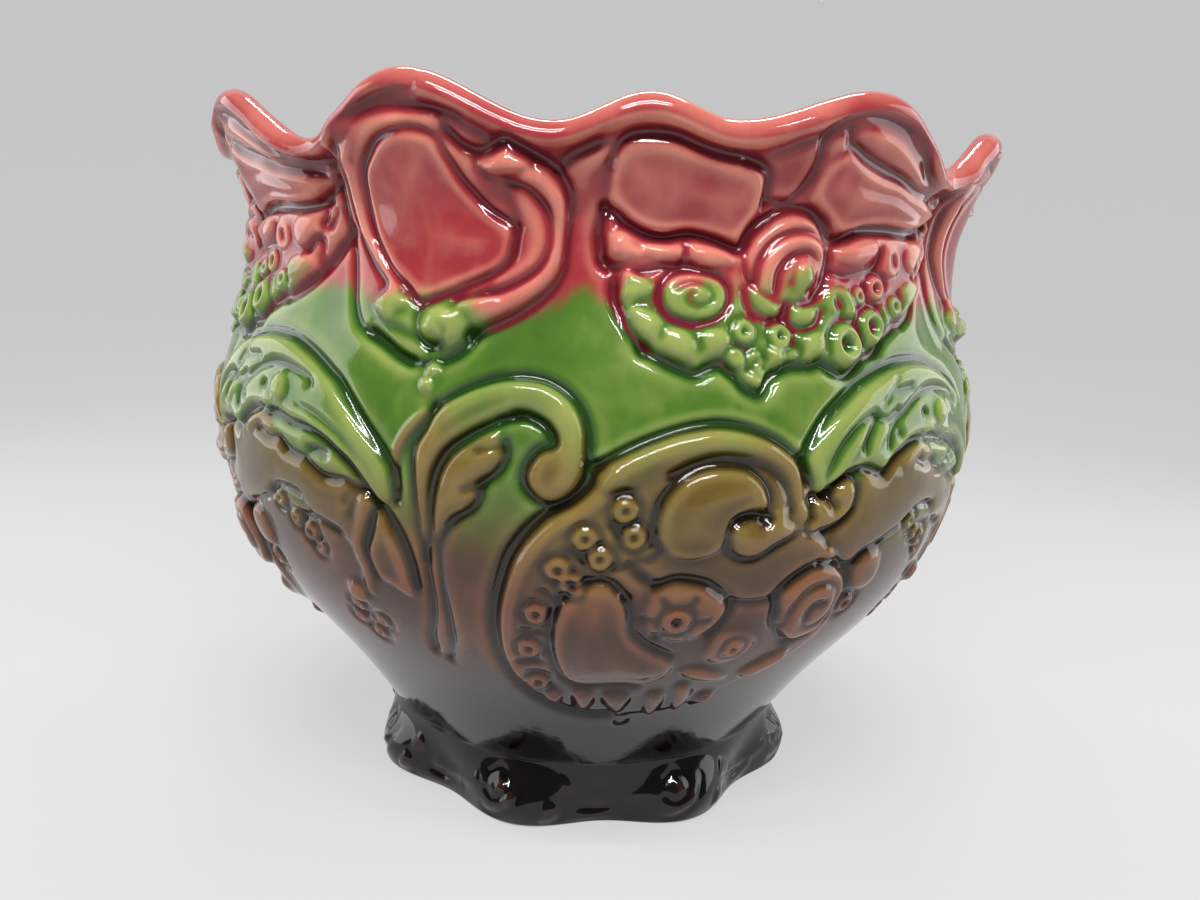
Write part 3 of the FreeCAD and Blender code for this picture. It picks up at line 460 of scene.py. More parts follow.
def mould_arch(relief):
    """The big C-scroll below the front: its arch, beads, panels, kidney, shells and leaves."""
    crest = [(0.4, 120), (3.4, 123.8), (6.8, 127.1), (10.2, 129.3), (13.7, 130.2), (17, 129.2),
            (20.4, 126.6), (23, 123), (24.7, 119.4), (26, 114.8), (26.5, 111.8)]
    right_side = [(26.9, 107.2), (28.8, 102), (31.4, 97.9), (34.1, 91.8), (35.6, 86.1), (36.4, 78.5),
            (35.7, 70.6), (32.4, 63.2), (26.8, 57.3), (21.8, 51.2), (16.1, 46.6), (9.5, 45.4)]
    left_leg = [(0.9, 120), (0, 116.3), (-1.7, 112.6), (-3.3, 110.2), (-5.3, 107.3), (-7.3, 102.7),
            (-8.9, 97.4), (-10.1, 90.2), (-11.1, 82.8), (-11.6, 75.2), (-11.6, 68.1), (-10.7, 60.6),
            (-9.2, 55), (-6.9, 51), (-3.7, 47.6), (1.2, 45.2), (5.3, 45.6)]
    relief.raise_field(crest + right_side + left_leg[:0:-1], 1.4, 2.4, mask="motif")
    relief.carve(crest, 1.5, 1.1)
    relief.roll([(0.4, 122.1), (3.4, 125.9), (6.8, 129), (10.3, 131.3), (13.7, 132.3), (17.1, 131.3),
            (20.4, 128.7), (23.3, 125.1), (25.1, 120.7)], 0.5, 0.8)
    relief.roll([(1.7, 117.9), (5.1, 122), (8.5, 124.9), (11.9, 126.5), (14.5, 126.7), (17.9, 125.8),
            (20.8, 123.4), (23.4, 119.1), (24.6, 114)], 1.2, 2.4)
    relief.carve([(8.5, 119), (11.1, 121.8), (14, 123.2), (17, 122.6), (19.6, 120.6), (21.5, 117.5),
            (22.6, 114.2), (23.2, 110.8)], 1.4, 1.0)
    kidney = [(7.2, 104.9), (7.2, 109.1), (7.9, 114), (9.7, 118.1), (11.9, 120.5), (14.5, 121.2),
            (17.1, 120.3), (19, 117.7), (20, 114.3), (20.3, 110.9), (17.8, 110.6), (16.1, 108.3),
            (15.8, 104.1), (14.4, 100.8), (11.2, 99.2), (8.6, 100.9)]
    relief.raise_field(kidney, 1.0, 2.0, dome=1.6, dome_width=9.0, lip=0.4)
    relief.carve([(7.5, 103.2)] + kidney[1:10] + [(20, 109.3)], 1.3, 0.9)
    relief.carve([(16.8, 109.1), (18.4, 109.5), (20.2, 108.6)], 2.0, 1.2)
    relief.roll([(16.5, 106.7), (17.7, 107.9), (19.2, 108), (20.7, 110.3), (21.6, 109.2), (20.6, 105.9)],
            0.9, 0.8)
    relief.raise_field([(15.7, 107), (15.3, 104.1), (16, 101.1), (17.6, 99.1), (19.6, 99.2),
            (21.6, 101.7), (24.2, 104.5), (23.5, 107.4), (21.4, 109.5), (19.6, 107.3), (17.5, 107.3)],
            1.0, 1.8, dome=0.8, dome_width=4.0)
    relief.carve([(15.8, 108.7), (15.4, 104.5), (16, 101.1), (17.6, 99.1), (19.6, 99.2), (21.6, 101.7),
            (24.2, 104.5)], 1.2, 0.8)
    relief.carve(left_leg, 2.0, 1.6)
    relief.roll([(2.5, 119.2), (1.5, 115.1), (-0.2, 111.3), (-2, 108.6), (-4, 105.7), (-5.9, 101.1),
            (-7.5, 95.6), (-8.8, 89.3), (-9.7, 81.9), (-10.1, 75.2), (-10.1, 68.7), (-9.3, 62.3),
            (-7.7, 57.5)], 0.9, 1.1)
    bean = [(-0.9, 92), (0.7, 93.3), (2.3, 93.5), (3.5, 91.9), (4.7, 89.1), (5.3, 85.3), (5.5, 81.6),
            (6.2, 78.8), (7.8, 75.8), (9.4, 73.8), (11.4, 71.7), (12.6, 67.5), (11.5, 63.3), (9, 60.9),
            (6.2, 61.2), (3.7, 61), (-0.3, 60.6), (-2.7, 62.8), (-3.8, 68.2), (-4.2, 74.2), (-4, 80.9),
            (-2.9, 87.4)]
    relief.raise_field(bean, 1.0, 2.0, dome=1.5, dome_width=9.0, lip=0.4)
    relief.carve(bean[4::-1] + bean[:13:-1] + [(8.2, 60.2)], 1.4, 0.9)
    relief.carve(bean[4:11], 1.1, 0.8)
    for place in ((3.9, 110.8), (5, 104.6), (-0.3, 103.9), (1.4, 99.1), (-3.3, 96), (-1.7, 92.4),
            (-5.8, 83.7), (-7.1, 72.8), (-6.4, 60.6)):
        relief.ring(place, 3.4, height=1.5, width=1.0)
    for start, stop in (((2.4, 107.6), (4, 103.7)), ((-2.5, 100.9), (-0.1, 98.2)), ((-5.3, 90.2),
            (-3.7, 88.4)), ((-7.8, 78.1), (-5.4, 78.1)), ((-9, 67.6), (-5.8, 68.2)), ((1.2, 114.6),
            (4.6, 115.5))):
        relief.carve([start, stop], 1.2, 0.8)
    relief.carve([(4.3, 98.1), (6.3, 94.9), (8.3, 92.1)], 1.5, 1.1, taper=True)
    relief.carve([(3.1, 96.8), (5.1, 98.6), (7.2, 99.4), (8.4, 102.3)], 1.0, 0.7)
    relief.raise_field([(8.2, 92.1), (10.4, 93.9), (13.6, 92.9), (15.5, 90.6), (17, 88.3), (17.5, 85.2),
            (16.9, 81.9), (15.5, 78.8), (12.6, 76.6), (9.4, 77.9), (7.5, 81.2), (6.8, 86.2)], 1.0, 1.8,
            dome=0.9, dome_width=6.0)
    relief.carve([(8.3, 92.6), (10.4, 94.3), (13.6, 93.2), (15.5, 90.9), (17.1, 88.5), (17.8, 85.6),
            (17.1, 81.9), (15.8, 78.8)], 1.4, 0.9)
    relief.ring((10.9, 84), 4.0, height=1.0, width=1.1, pit=1.8)
    for angle in range(0, 360, 60):
        tip = (10.9 + 4.6 * math.cos(math.radians(angle)), 84.0 + 7.6 * math.sin(math.radians(angle)))
        root = (10.9 + 2.5 * math.cos(math.radians(angle)), 84.0 + 4.3 * math.sin(math.radians(angle)))
        relief.carve([root, tip], 1.0, 0.8, taper=True)
    relief.raise_field([(16.1, 76.3), (17.4, 79.1), (19.9, 79.9), (22.2, 77.8), (23.4, 73.8),
            (22.2, 69.9), (19.8, 68), (17.4, 69.1), (16.1, 72.4)], 1.0, 1.7, dome=0.7, dome_width=4.0)
    relief.ring((19.8, 74.1), 3.1, height=0.8, width=0.9)
    relief.carve([(17.9, 87.5), (19.9, 86.9), (22.3, 87), (23.9, 88)], 1.1, 0.8)
    # shells
    shell = [(23.9, 88), (25.1, 91.6), (27.5, 94.6), (30.2, 95.3), (32.9, 93.7), (34.5, 90), (34.9, 84.3),
            (34.1, 78.6), (32.1, 73.9), (29, 72.7), (27, 74.9), (25, 79.5), (24.4, 84.2)]
    relief.raise_field(shell, 1.3, 2.0, dome=1.2, dome_width=7.0)
    relief.carve(shell[7::-1] + shell[:7:-1], 1.5, 1.0)
    relief.carve([(26.2, 79.3), (26.2, 85), (27.6, 89.6), (30.2, 91.2), (32.5, 88.7), (33.1, 83.4),
            (31.8, 79.4), (29.6, 79.1), (28.6, 81.9), (29.2, 85.5), (30.7, 85.8)], 1.2, 0.75)
    relief.raise_field([(35.6, 89), (36.3, 94.4), (38.5, 96.6), (41, 94.2), (41.8, 88.6), (40.5, 84.5),
            (37.6, 84.4)], 1.1, 1.8, dome=0.8, dome_width=4.0)
    relief.ring((38, 80.2), 3.7, height=1.1, width=1.0)
    # leaves at the foot of the scroll
    for leaf in ([(-1.4, 57.9), (0.5, 59), (2.1, 56.7), (2.1, 52.2), (0.4, 49.2), (-1.2, 51.6)],
            [(3.3, 57.1), (5.7, 58.6), (7.8, 56.2), (7.8, 52.2), (6.2, 50.2), (3.7, 52.1)], [(10.2, 56.7),
            (11.9, 58), (13.5, 55.4), (13.6, 49.2), (11.9, 46.4), (10.4, 49.9)], [(14.3, 59.8),
            (16.3, 60.7), (18, 56.1), (17.7, 50), (16.4, 47.2), (14.9, 52.6)], [(19.3, 54.8),
            (21.3, 55.7), (23, 53.3), (22.7, 48.8), (20.7, 47.4), (19.4, 50.3)], [(-6, 57.7), (-4, 58.4),
            (-2.7, 55.7), (-3.6, 52), (-5.7, 53.2)], [(13.8, 66.4), (16.6, 67.2), (20, 64.7),
            (22.5, 60.7), (19.2, 60.9), (15.6, 62.9)], [(24.1, 63.6), (27.1, 68.3), (30.2, 69.7),
            (30.9, 66.4), (28.3, 62.2), (25.4, 60.4)]):
        relief.raise_field(leaf, 1.1, 1.5, dome=0.7, dome_width=3.0)
    relief.roll([(6.2, 50.2), (6.8, 46.1), (7.8, 42.2)], 1.2, 1.5)


def mould_scroll(relief):
    """The S-scroll left of the front, its dark leaf and the fine lines beside it."""
    outer = [(-17.4, 131.2), (-15.2, 134.1), (-12.7, 136.6), (-10.1, 138.3), (-7.1, 138.8), (-4.6, 137.8),
            (-2.5, 135.2), (-1.2, 131.9), (-0.5, 127.7), (-0.4, 121.7), (-0.7, 116.8), (-1.7, 113.5),
            (-2.9, 111.6), (-4.2, 111), (-5.8, 112.3), (-6.9, 114.8), (-7.2, 117.7), (-6.6, 120.9),
            (-5.5, 123.5), (-4, 124.8), (-4.2, 126.5), (-5, 128.6), (-6.7, 130.5), (-8, 130.7)]
    inner = [(-8.4, 130.3), (-11, 128.2), (-13.5, 125.3), (-15.7, 121.8), (-17.2, 116.8), (-18, 111),
            (-18.3, 106.8), (-18.5, 100.9), (-19.3, 93.7), (-19.4, 84.4), (-20.1, 76.9), (-21.7, 69.9),
            (-22.4, 64.4)]
    relief.raise_field([(-17.6, 130.8)] + outer[1:] + inner[1:8] + [(-19.6, 93.7), (-19.6, 102.6),
            (-19.8, 110.9), (-20, 120.9), (-18.6, 126.1)], 1.4, 2.0, mask="motif")
    relief.carve(outer, 1.5, 1.0)
    relief.roll([(-15.7, 130.8), (-12.7, 134.2), (-9.8, 135.8), (-6.9, 136.1), (-4.7, 134.8),
            (-3.2, 131.9), (-2.5, 126.9), (-2.4, 120.9), (-2.9, 116.8)], 1.0, 2.3)
    relief.carve([(-4, 126.6), (-5.3, 129.3), (-8.1, 130.6), (-10.1, 129.5)], 0.8, 0.8)
    relief.carve(inner, 1.5, 0.9)
    relief.roll([(-17.2, 128.2), (-18.3, 121.8), (-18.8, 114.3), (-19, 106.8), (-19, 99.1)], 0.8, 1.4,
            taper=True)
    relief.raise_field([(-9.6, 124.8), (-10.6, 127), (-12.9, 124.6), (-15.1, 121.3), (-16.6, 116.8),
            (-17.4, 111), (-17.7, 106), (-17.9, 99.1), (-18.7, 91.9), (-18.8, 84.5), (-18.4, 80.8),
            (-17.7, 88.3), (-17.4, 97.4), (-15.9, 104.3), (-13.4, 108.2), (-12.4, 111), (-11.9, 114.8),
            (-10.3, 117.7), (-9.3, 121)], 1.1, 1.6, dome=1.0, dome_width=5.0, mask="motif")
    relief.carve([(-9.3, 124.4), (-9.2, 121), (-10.1, 117.7), (-11.7, 114.8), (-12.2, 111),
            (-13.1, 108.5), (-15.4, 105.2), (-17.1, 100), (-17.7, 93.7), (-17.8, 84.5), (-17.9, 77),
            (-18.6, 69), (-20.4, 62.4)], 1.4, 0.9)
    relief.carve([(-17.6, 131.2), (-18.6, 126.1), (-20, 120.9), (-19.8, 110.9), (-19.6, 102.6),
            (-19.6, 93.7)], 1.3, 0.9)
    relief.carve([(-12.3, 122.3), (-10.2, 123.4)], 1.2, 0.7)
    relief.carve([(-13.7, 113.1), (-11.7, 115.2)], 1.2, 0.7)
    relief.raise_field([(-22.6, 114.2), (-22.7, 119.2), (-22, 123.5), (-20.7, 127.4), (-19, 130.3),
            (-17.6, 131.3), (-18.4, 128.6), (-19.5, 126.1), (-21.3, 121.2), (-22.1, 116.8)], 1.2, 1.0,
            mask="motif")
    relief.carve([(-22.3, 110.9), (-22.1, 116.8), (-21.2, 121.8), (-19.5, 126.9), (-17.8, 130.7)], 1.0,
            0.7)


def mould_leaf_arch(relief):
    """The feathered leaf arch at the quarter's edge, with its hooks, eye, brown panel and fan."""
    outer = [(24.8, 113), (24.4, 121.3), (25.5, 126), (27.4, 130.9), (29.3, 133.9), (31.6, 136.9),
            (34.2, 139.5), (37, 141.4), (40.6, 143), (44, 143.4), (48, 142.9), (51.2, 141.2),
            (54.2, 138.8), (56.7, 136.3), (58.7, 133.9), (60.9, 129.8), (62.9, 125.7), (64.7, 122),
            (66.1, 118.6), (67.1, 115.1), (67.3, 108.5)]
    edge = [(28.1, 113), (29.1, 115.3), (30.4, 117), (32.2, 118.4), (33.9, 118.8), (35.7, 117.8),
            (37.2, 116.9), (38.2, 119), (39.3, 120.8), (41.3, 122.9), (43, 124), (46.1, 124.4),
            (49, 123.8), (51.5, 122.6), (53.6, 122.3), (55.8, 121.2), (57.8, 119.6), (59.4, 117.7),
            (61.2, 115.4), (62.9, 112), (63.9, 109.4), (65.2, 106.4)]
    panel = [(38.2, 119), (41.3, 122.5), (46.1, 123.6), (48.7, 118), (50, 115.6), (53.5, 114.3),
            (56.6, 110.9), (60.5, 111), (62.2, 109.8), (63.9, 108.4), (63, 103), (61.4, 96.1),
            (61.1, 91.7), (58.3, 97), (54.3, 99.1), (51.8, 104.5), (48.8, 105.4), (45, 102.8),
            (41.2, 99.1), (36.9, 96), (34.3, 92.9), (31.7, 95.1), (29, 95.6), (30.5, 104.5), (32.5, 108),
            (33.2, 113), (34, 117.5), (37.2, 116.5)]
    relief.raise_field(panel, 0.6, 1.8, dome=0.6, dome_width=8.0, mask="motif")
    relief.raise_field(outer + edge[::-1] + [(26.3, 112)], 1.4, 2.2)
    relief.carve(outer, 1.7, 1.3)
    relief.carve(edge + [(66.2, 104.2), (67.7, 98.6), (68.5, 92.5), (68.6, 85.3)], 1.5, 1.1)
    relief.carve([(24.4, 121.3), (25, 117.3), (25.8, 112.4)], 1.6, 1.3)
    relief.roll([(27.2, 122), (28.8, 127.5), (31.4, 131.9), (34.4, 135.6), (38.6, 138.9), (43.2, 140.4),
            (47.6, 139.9), (51.6, 137.6), (54.8, 134.6)], 0.9, 1.9, taper=True)
    # feathers at the left end
    relief.carve([(28.1, 113), (27.6, 116.9), (28.2, 120.2), (28.9, 123.4), (30.3, 126.5), (31.9, 128.9),
            (33.6, 130.6), (35, 131.1)], 1.0, 0.7)
    relief.roll([(28.8, 114.3), (29.4, 119.6), (30.4, 122.7), (31.9, 125.8), (33.6, 129.4)], 1.0, 1.1,
            taper=True)
    relief.carve([(33.7, 121.3), (33.2, 124.7), (34.2, 127.9), (35, 130.2)], 1.2, 0.9, taper=True)
    relief.roll([(34.8, 120.6), (34.6, 123.6), (35.6, 126.8), (37.1, 128.9)], 1.0, 1.1, taper=True)
    relief.carve([(35, 130.6), (37.1, 129.9), (39.2, 132)], 1.2, 0.8)
    relief.carve([(36.5, 133.3), (37.4, 134.6), (39.5, 139.6)], 0.8, 0.6)
    relief.carve([(39.1, 136.3), (42.7, 136.9)], 0.9, 0.7)
    relief.boss((39.5, 126.2), 1.8, -1.2)
    relief.boss((45.1, 130.6), 1.8, -1.2)
    # the curl behind the crest, with its knob and leaf
    relief.carve([(37.6, 123.1), (37.9, 126.9), (39.5, 130), (42.3, 133.4), (44.3, 135), (46.6, 136),
            (49.8, 136), (53.7, 134.2), (54.6, 132.3)], 1.4, 1.0)
    relief.boss((49, 130.5), 4.0, 1.6)
    relief.roll([(46.5, 128.5), (46, 125.5), (44, 122.5), (42, 120), (40.6, 118)], 1.0, 1.3, taper=True)
    relief.carve([(52.2, 127.6), (56.2, 125.4), (60.2, 121.4), (63, 116.6)], 0.8, 0.8, taper=True)
    # the hook that hangs at the left, with its eye
    hook = [(28.1, 113), (29.1, 115.3), (30.4, 117), (32, 116.7), (32.8, 114.1), (32.8, 111.1),
            (32.3, 108.2), (31, 105.9), (29, 104.3), (27.3, 103.9), (25.7, 104.9), (26.3, 108.3),
            (26, 112.4)]
    relief.raise_field(hook, 1.2, 1.8, dome=0.8, dome_width=4.0, mask="motif")
    relief.carve(hook, 1.3, 0.85, closed=True)
    relief.carve([(28.6, 112.4), (29.3, 110.6)], 2.2, 1.5)
    # leaf between the arch and the panel
    relief.carve([(44.3, 118.9), (46.3, 117.5), (48.7, 117.8), (50, 115.6), (52, 114.6), (53.5, 114.3),
            (54.5, 112.7), (56.6, 110.9), (58.5, 110.6), (60.5, 111), (62.2, 109.8), (63.9, 108.4),
            (64.7, 107.2)], 1.2, 0.8)
    relief.roll([(45, 121.2), (49, 120.6), (52.4, 119.4), (56.6, 116.9), (60, 113.6), (62.8, 109.6)], 0.7,
            1.7, taper=True)
    relief.carve([(53.6, 116.9), (56, 117.1), (58.1, 115.8)], 1.9, 1.3, taper=True)
    relief.carve([(29.1, 95.6), (31.7, 95.1), (34.3, 92.9), (36.9, 96), (38.7, 97.1), (41.2, 99.1),
            (43.6, 100.5), (45, 102.8), (46.5, 105), (48.8, 105.4), (51.8, 104.5)], 1.2, 0.8)
    relief.carve([(51.5, 98.9), (54.3, 99.1), (56.4, 98.3), (58.3, 97)], 1.2, 0.8)
    for place, radius in (((46.6, 101.2), 3.0), ((52.2, 94.3), 3.4), ((53.4, 90.4), 2.6), ((49.6, 97),
            2.8)):
        relief.ring(place, radius, height=1.1)
    # the fan at the right end
    relief.raise_field([(64.8, 104.2), (66.2, 100.1), (67.4, 94.8), (68, 90.2), (68.3, 83.5),
            (66.9, 83.4), (65.1, 85.6), (63.4, 86.6), (62.7, 90.3), (62.6, 94.1), (63.7, 98.2),
            (64.4, 101.6)], 1.0, 1.5, lip=0.4, mask="motif")
    relief.roll([(63.6, 106.7), (62.6, 101.8), (61.4, 96.1), (61.1, 91.7), (61.6, 88.5), (61.1, 82.5)],
            1.0, 1.1)
    relief.carve([(64.6, 107), (63.9, 102.3), (62.9, 97.8), (62.1, 93.7), (62.6, 89), (62.9, 86.8)], 1.3,
            0.8)
    relief.carve([(60.2, 106.1), (61.4, 109.5)], 0.9, 0.6)
    relief.carve([(60.8, 102.2), (62.2, 108.7)], 0.9, 0.6)
    relief.boss((58.6, 80.5), 4.0, 1.8)
    for place in ((55.4, 70.5), (57.8, 66), (60.2, 71), (56.8, 75)):
        relief.ring(place, 2.6, height=1.0)


def mould_foot(relief):
    """Low scrolls and leaves that run round the foot, two toes to each quarter."""
    for toe in (-60.5, -15.5):
        relief.carve([(toe - 7, 13.5), (toe - 4, 15.4), (toe - 1, 13), (toe - 2.4, 9.4), (toe - 5, 8),
                (toe - 7, 9.4)], 0.9, 1.0)
        relief.carve([(toe - 9, 4), (toe - 6, 2.6), (toe - 2, 4.6), (toe + 1.4, 9), (toe + 4, 14)], 0.8,
                1.0, taper=True)
        relief.roll([(toe - 4.4, 11.4), (toe - 2.6, 12), (toe - 0.6, 9.6), (toe - 1, 6.6)], 0.7, 1.3,
                taper=True)
        relief.raise_field([(toe + 6, 3), (toe + 9, 2), (toe + 12, 4.2), (toe + 11, 7.6), (toe + 8, 8.4)],
                0.7, 1.8, dome=0.4, dome_width=3.0)
        relief.raise_field([(toe + 10, 10), (toe + 15, 11), (toe + 13.6, 14.6), (toe + 11, 15.4)], 0.6,
                1.6)
        relief.roll([(toe + 12, 3.6), (toe + 18, 2.8), (toe + 24, 3.6), (toe + 29, 5.6)], 0.8, 1.4,
                taper=True)
        relief.roll([(toe + 17, 8.4), (toe + 23, 7), (toe + 30, 8.6), (toe + 35, 11)], 0.8, 1.6,
                taper=True)
        relief.carve([(toe + 15, 6.2), (toe + 21, 5), (toe + 28, 7)], 0.6, 1.0, taper=True)


# ------------------------------------------------------------------ the pot's whole surface
#
# One path runs from the middle of the underside, under the foot, up the outside, over the lip and down
# to the middle of the floor inside. Each row of the grid goes once round the pot.

COLUMNS = 360                    # columns of the grid in one quarter
MAP_STEP = 0.4                   # height of one row of the relief map, in mm
ROW_STEP = 0.45                  # height of one row of the outside, in mm
FLANK_TOP = 80.0                 # where the lower pieces of the outside end
BELLY_TOP = 148.0                # where the neck's pieces begin
FOOT_CORNERS = 8
FOOT_CORNER_AZIMUTH = 29.5
FOOT_RADII = (72.5, 64.5)        # at the toes and between them
TOE_CREST = 0.33                 # share of the foot's height at which the toes are widest
HOLLOW_RADIUS = 55.0
HOLLOW_FLARE = 0.6               # how much wider the hollow is at its mouth
HOLLOW_CORNER = 4.0              # radius of the corner at the hollow's top
HOLLOW_EDGE = 2.0                # radius of the foot's inner edge
FOOT_EDGE = 1.4                  # radius of the foot's outer edge
LIP_HALF = 4.0                   # half the lip's thickness
CORNER_INSIDE = 14.0             # radius of the corner between wall and floor inside


def foot_radius(azimuth, height):
    """The foot's outside: eight toes that swell out below the waist.

    Round the foot the toes are a cosine wave. From the ground up they grow to their widest and then fade
    into the waist, as a sine arch whose crest is moved down.
    """
    waist = wall_radius(FOOT_TOP)
    turn = np.radians(FOOT_CORNERS * (azimuth - FOOT_CORNER_AZIMUTH))
    wave = 0.5 + 0.5 * np.cos(turn)
    rise = np.clip(height / (FOOT_TOP + 1.0), 0.0, 1.0)
    arch = np.where(rise < TOE_CREST, 0.72 + 0.28 * np.sin(math.pi / 2 * rise / TOE_CREST),
                    0.5 + 0.5 * np.cos(math.pi * (rise - TOE_CREST) / (1.0 - TOE_CREST)))
    toes = FOOT_RADII[1] - waist + (FOOT_RADII[0] - FOOT_RADII[1]) * wave
    return waist + toes * arch


def lip_relief(below):
    """What the lip adds to the relief, by distance below its top: a low bead and a soft groove under it."""
    bead = 0.7 * smoothstep((7.0 - below) / 3.0)
    groove = 0.7 * np.exp(-((below - 7.6) / 1.7) ** 2)
    return bead - groove


def lip_flare(azimuth, height):
    """How far the lip turns out past the wall: most where the rim is low, over its top few millimetres."""
    top = rim_top(azimuth)
    low = np.clip((204.0 - top) / 14.0, 0.0, 1.0)
    return (0.4 + 2.6 * low) * smoothstep((14.0 - (top - height)) / 11.0)


class Quarter:
    """The rows of one quarter: radius and height in mm, and the masks that the glaze follows."""

    LAYERS = ("pool", "edge", "lift", "spray", "motif")

    def __init__(self, depth):
        self.map = ReliefMap(COLUMNS, 0.0, 208.0, MAP_STEP)
        self.map.scale[self.map.heights < FOOT_TOP] = sum(FOOT_RADII) / 2 * math.pi / 180.0
        for mould in (mould_foot, mould_scroll, mould_arch, mould_leaf_arch, mould_spray, mould_neck):
            mould(self.map)
        azimuth = self.map.azimuths[None, :]
        below = rim_top(azimuth) - self.map.heights[:, None]
        fine = self.map.blurred(self.map.lift, SOFTNESS) + lip_relief(below)
        near, wide = self.map.blurred(fine, 1.7), self.map.blurred(fine, 5.0)
        self.fields = {
            "lift": fine,
            "pool": np.clip((near - fine) / 0.75, 0, 1) + 0.5 * np.clip((wide - fine) / 1.8, 0, 1),
            "edge": np.clip((fine - near) / 0.4, 0, 1) + 0.25 * np.clip((fine - wide) / 1.6, 0, 1),
            "spray": self.map.mask("spray"),
            "motif": self.map.mask("motif"),
        }
        self.azimuth = azimuth
        self.parts = {}
        self.rows = []
        self.depth = depth
        self.build()

    def sample(self, field, heights):
        """A field's values at a grid of heights, each column by linear interpolation between rows."""
        values = self.fields[field]
        place = np.clip((heights - self.map.heights[0]) / MAP_STEP, 0, values.shape[0] - 1.001)
        row = place.astype(int)
        share = place - row
        column = np.arange(COLUMNS)[None, :]
        return values[row, column] * (1 - share) + values[row + 1, column] * share

    def add(self, part, radius, height, lean=None, masks=None):
        """Adds rows to a named part. A lean is the slope of the profile, square to which the relief lies."""
        shape = np.broadcast_shapes(np.shape(radius), np.shape(height), (1, COLUMNS))
        radius, height = np.broadcast_to(radius, shape).copy(), np.broadcast_to(height, shape).copy()
        layers = {name: np.zeros(shape) for name in self.LAYERS}
        if lean is not None:
            for name in self.LAYERS:
                layers[name] = self.sample(name, height)
            reach = self.depth * layers["lift"] / np.sqrt(1.0 + lean ** 2)
            radius += reach
            height -= reach * lean
        for name, values in (masks or {}).items():
            layers[name] = np.broadcast_to(values, shape)
        start = sum(len(rows[0]) for rows in self.rows)
        self.rows.append((radius, height, layers))
        first, _ = self.parts.get(part, (start, None))
        self.parts[part] = (first, start + shape[0])

    def build(self):
        """All the rows in order, from the underside's middle to the middle of the floor inside."""
        azimuth = self.azimuth
        column = np.linspace(0, 1, 12)[:, None]
        self.add("underside", HOLLOW_RADIUS * column - HOLLOW_CORNER * (column > 0.99), FOOT_TOP)
        turn = np.linspace(0, math.pi / 2, 6)[:, None]
        self.add("underside", HOLLOW_RADIUS - HOLLOW_CORNER + HOLLOW_CORNER * np.sin(turn),
                 FOOT_TOP - HOLLOW_CORNER + HOLLOW_CORNER * np.cos(turn))
        self.add("underside", HOLLOW_RADIUS + HOLLOW_FLARE * column,
                 HOLLOW_EDGE + (FOOT_TOP - HOLLOW_CORNER - 0.5 - HOLLOW_EDGE) * (1 - column))
        turn = np.linspace(0, math.pi / 2, 5)[:, None]
        self.add("underside", HOLLOW_RADIUS + HOLLOW_FLARE + HOLLOW_EDGE * (1 - np.cos(turn)),
                 HOLLOW_EDGE - HOLLOW_EDGE * np.sin(turn))
        outer = foot_radius(azimuth, np.zeros((1, 1))) - FOOT_EDGE
        inner = HOLLOW_RADIUS + HOLLOW_FLARE + HOLLOW_EDGE
        self.add("underside", inner + (outer - inner) * np.linspace(0.1, 1.0, 8)[:, None], 0.0)
        edge = np.linspace(0.15, 1.0, 5)[:, None] * math.pi / 2
        rise = FOOT_EDGE * (1 - np.cos(edge))
        self.add("foot", foot_radius(azimuth, rise) - FOOT_EDGE * (1 - np.sin(edge)), rise)
        heights = np.arange(FOOT_EDGE + ROW_STEP, FOOT_TOP, ROW_STEP)[:, None] * np.ones((1, COLUMNS))
        self.add("foot", foot_radius(azimuth, heights), heights, lean=0.0)
        for part, low, high in (("flank", FOOT_TOP, FLANK_TOP), ("belly", FLANK_TOP, BELLY_TOP)):
            heights = np.linspace(low, high, int((high - low) / ROW_STEP), endpoint=False)[:, None]
            heights = heights * np.ones((1, COLUMNS))
            self.add(part, wall_radius(heights), heights, lean=WALL.deriv()(heights))
        shoulder = rim_top(azimuth) - LIP_HALF
        share = np.linspace(0, 1, int(60.0 / ROW_STEP), endpoint=False)[:, None]
        heights = BELLY_TOP + (shoulder - BELLY_TOP) * share
        self.add("neck", wall_radius(heights) + lip_flare(azimuth, heights), heights,
                 lean=WALL.deriv()(heights))
        turn = np.linspace(0, math.pi, 26)[:, None]
        middle = wall_radius(shoulder) + lip_flare(azimuth, shoulder) - LIP_HALF
        lift = self.depth * self.sample("lift", shoulder) * (0.5 + 0.5 * np.cos(turn))
        reach = LIP_HALF + lift
        # A pale band fixed on the lip's upper outer face, fed into the edge mask: a painted highlight where
        # the lip faces the lamps above the front, not thin glaze.
        edge = np.exp(-((turn - 0.9) / 0.7) ** 2)
        self.add("lip", middle + reach * np.cos(turn), shoulder + (LIP_HALF + 0.3 * lift) * np.sin(turn),
                 masks={"edge": 0.6 * edge * np.ones((1, COLUMNS))})
        self.build_inside(shoulder, middle)

    def build_inside(self, shoulder, middle):
        """The inside: the lip's face, the wall a wall's thickness in, the round corner and the floor."""
        low = FLOOR_TOP + CORNER_INSIDE
        share = np.linspace(0, 1, 38)[1:, None]
        heights = shoulder + (low - shoulder) * share ** 1.15
        thickness = WALL_THICKNESS + (2 * LIP_HALF - WALL_THICKNESS) * smoothstep((heights - 168.0) / 22.0)
        away = (wall_radius(heights) - thickness - (middle - LIP_HALF)) * smoothstep(share * 12.0)
        self.add("inside", middle - LIP_HALF + away, heights)
        turn = np.linspace(0, math.pi / 2, 10)[1:, None]
        corner = wall_radius(np.array([[low]])) - WALL_THICKNESS - CORNER_INSIDE
        self.add("inside", corner + CORNER_INSIDE * np.cos(turn), low - CORNER_INSIDE * np.sin(turn))
        self.add("inside", corner * np.linspace(1, 0, 12)[1:, None], FLOOR_TOP)

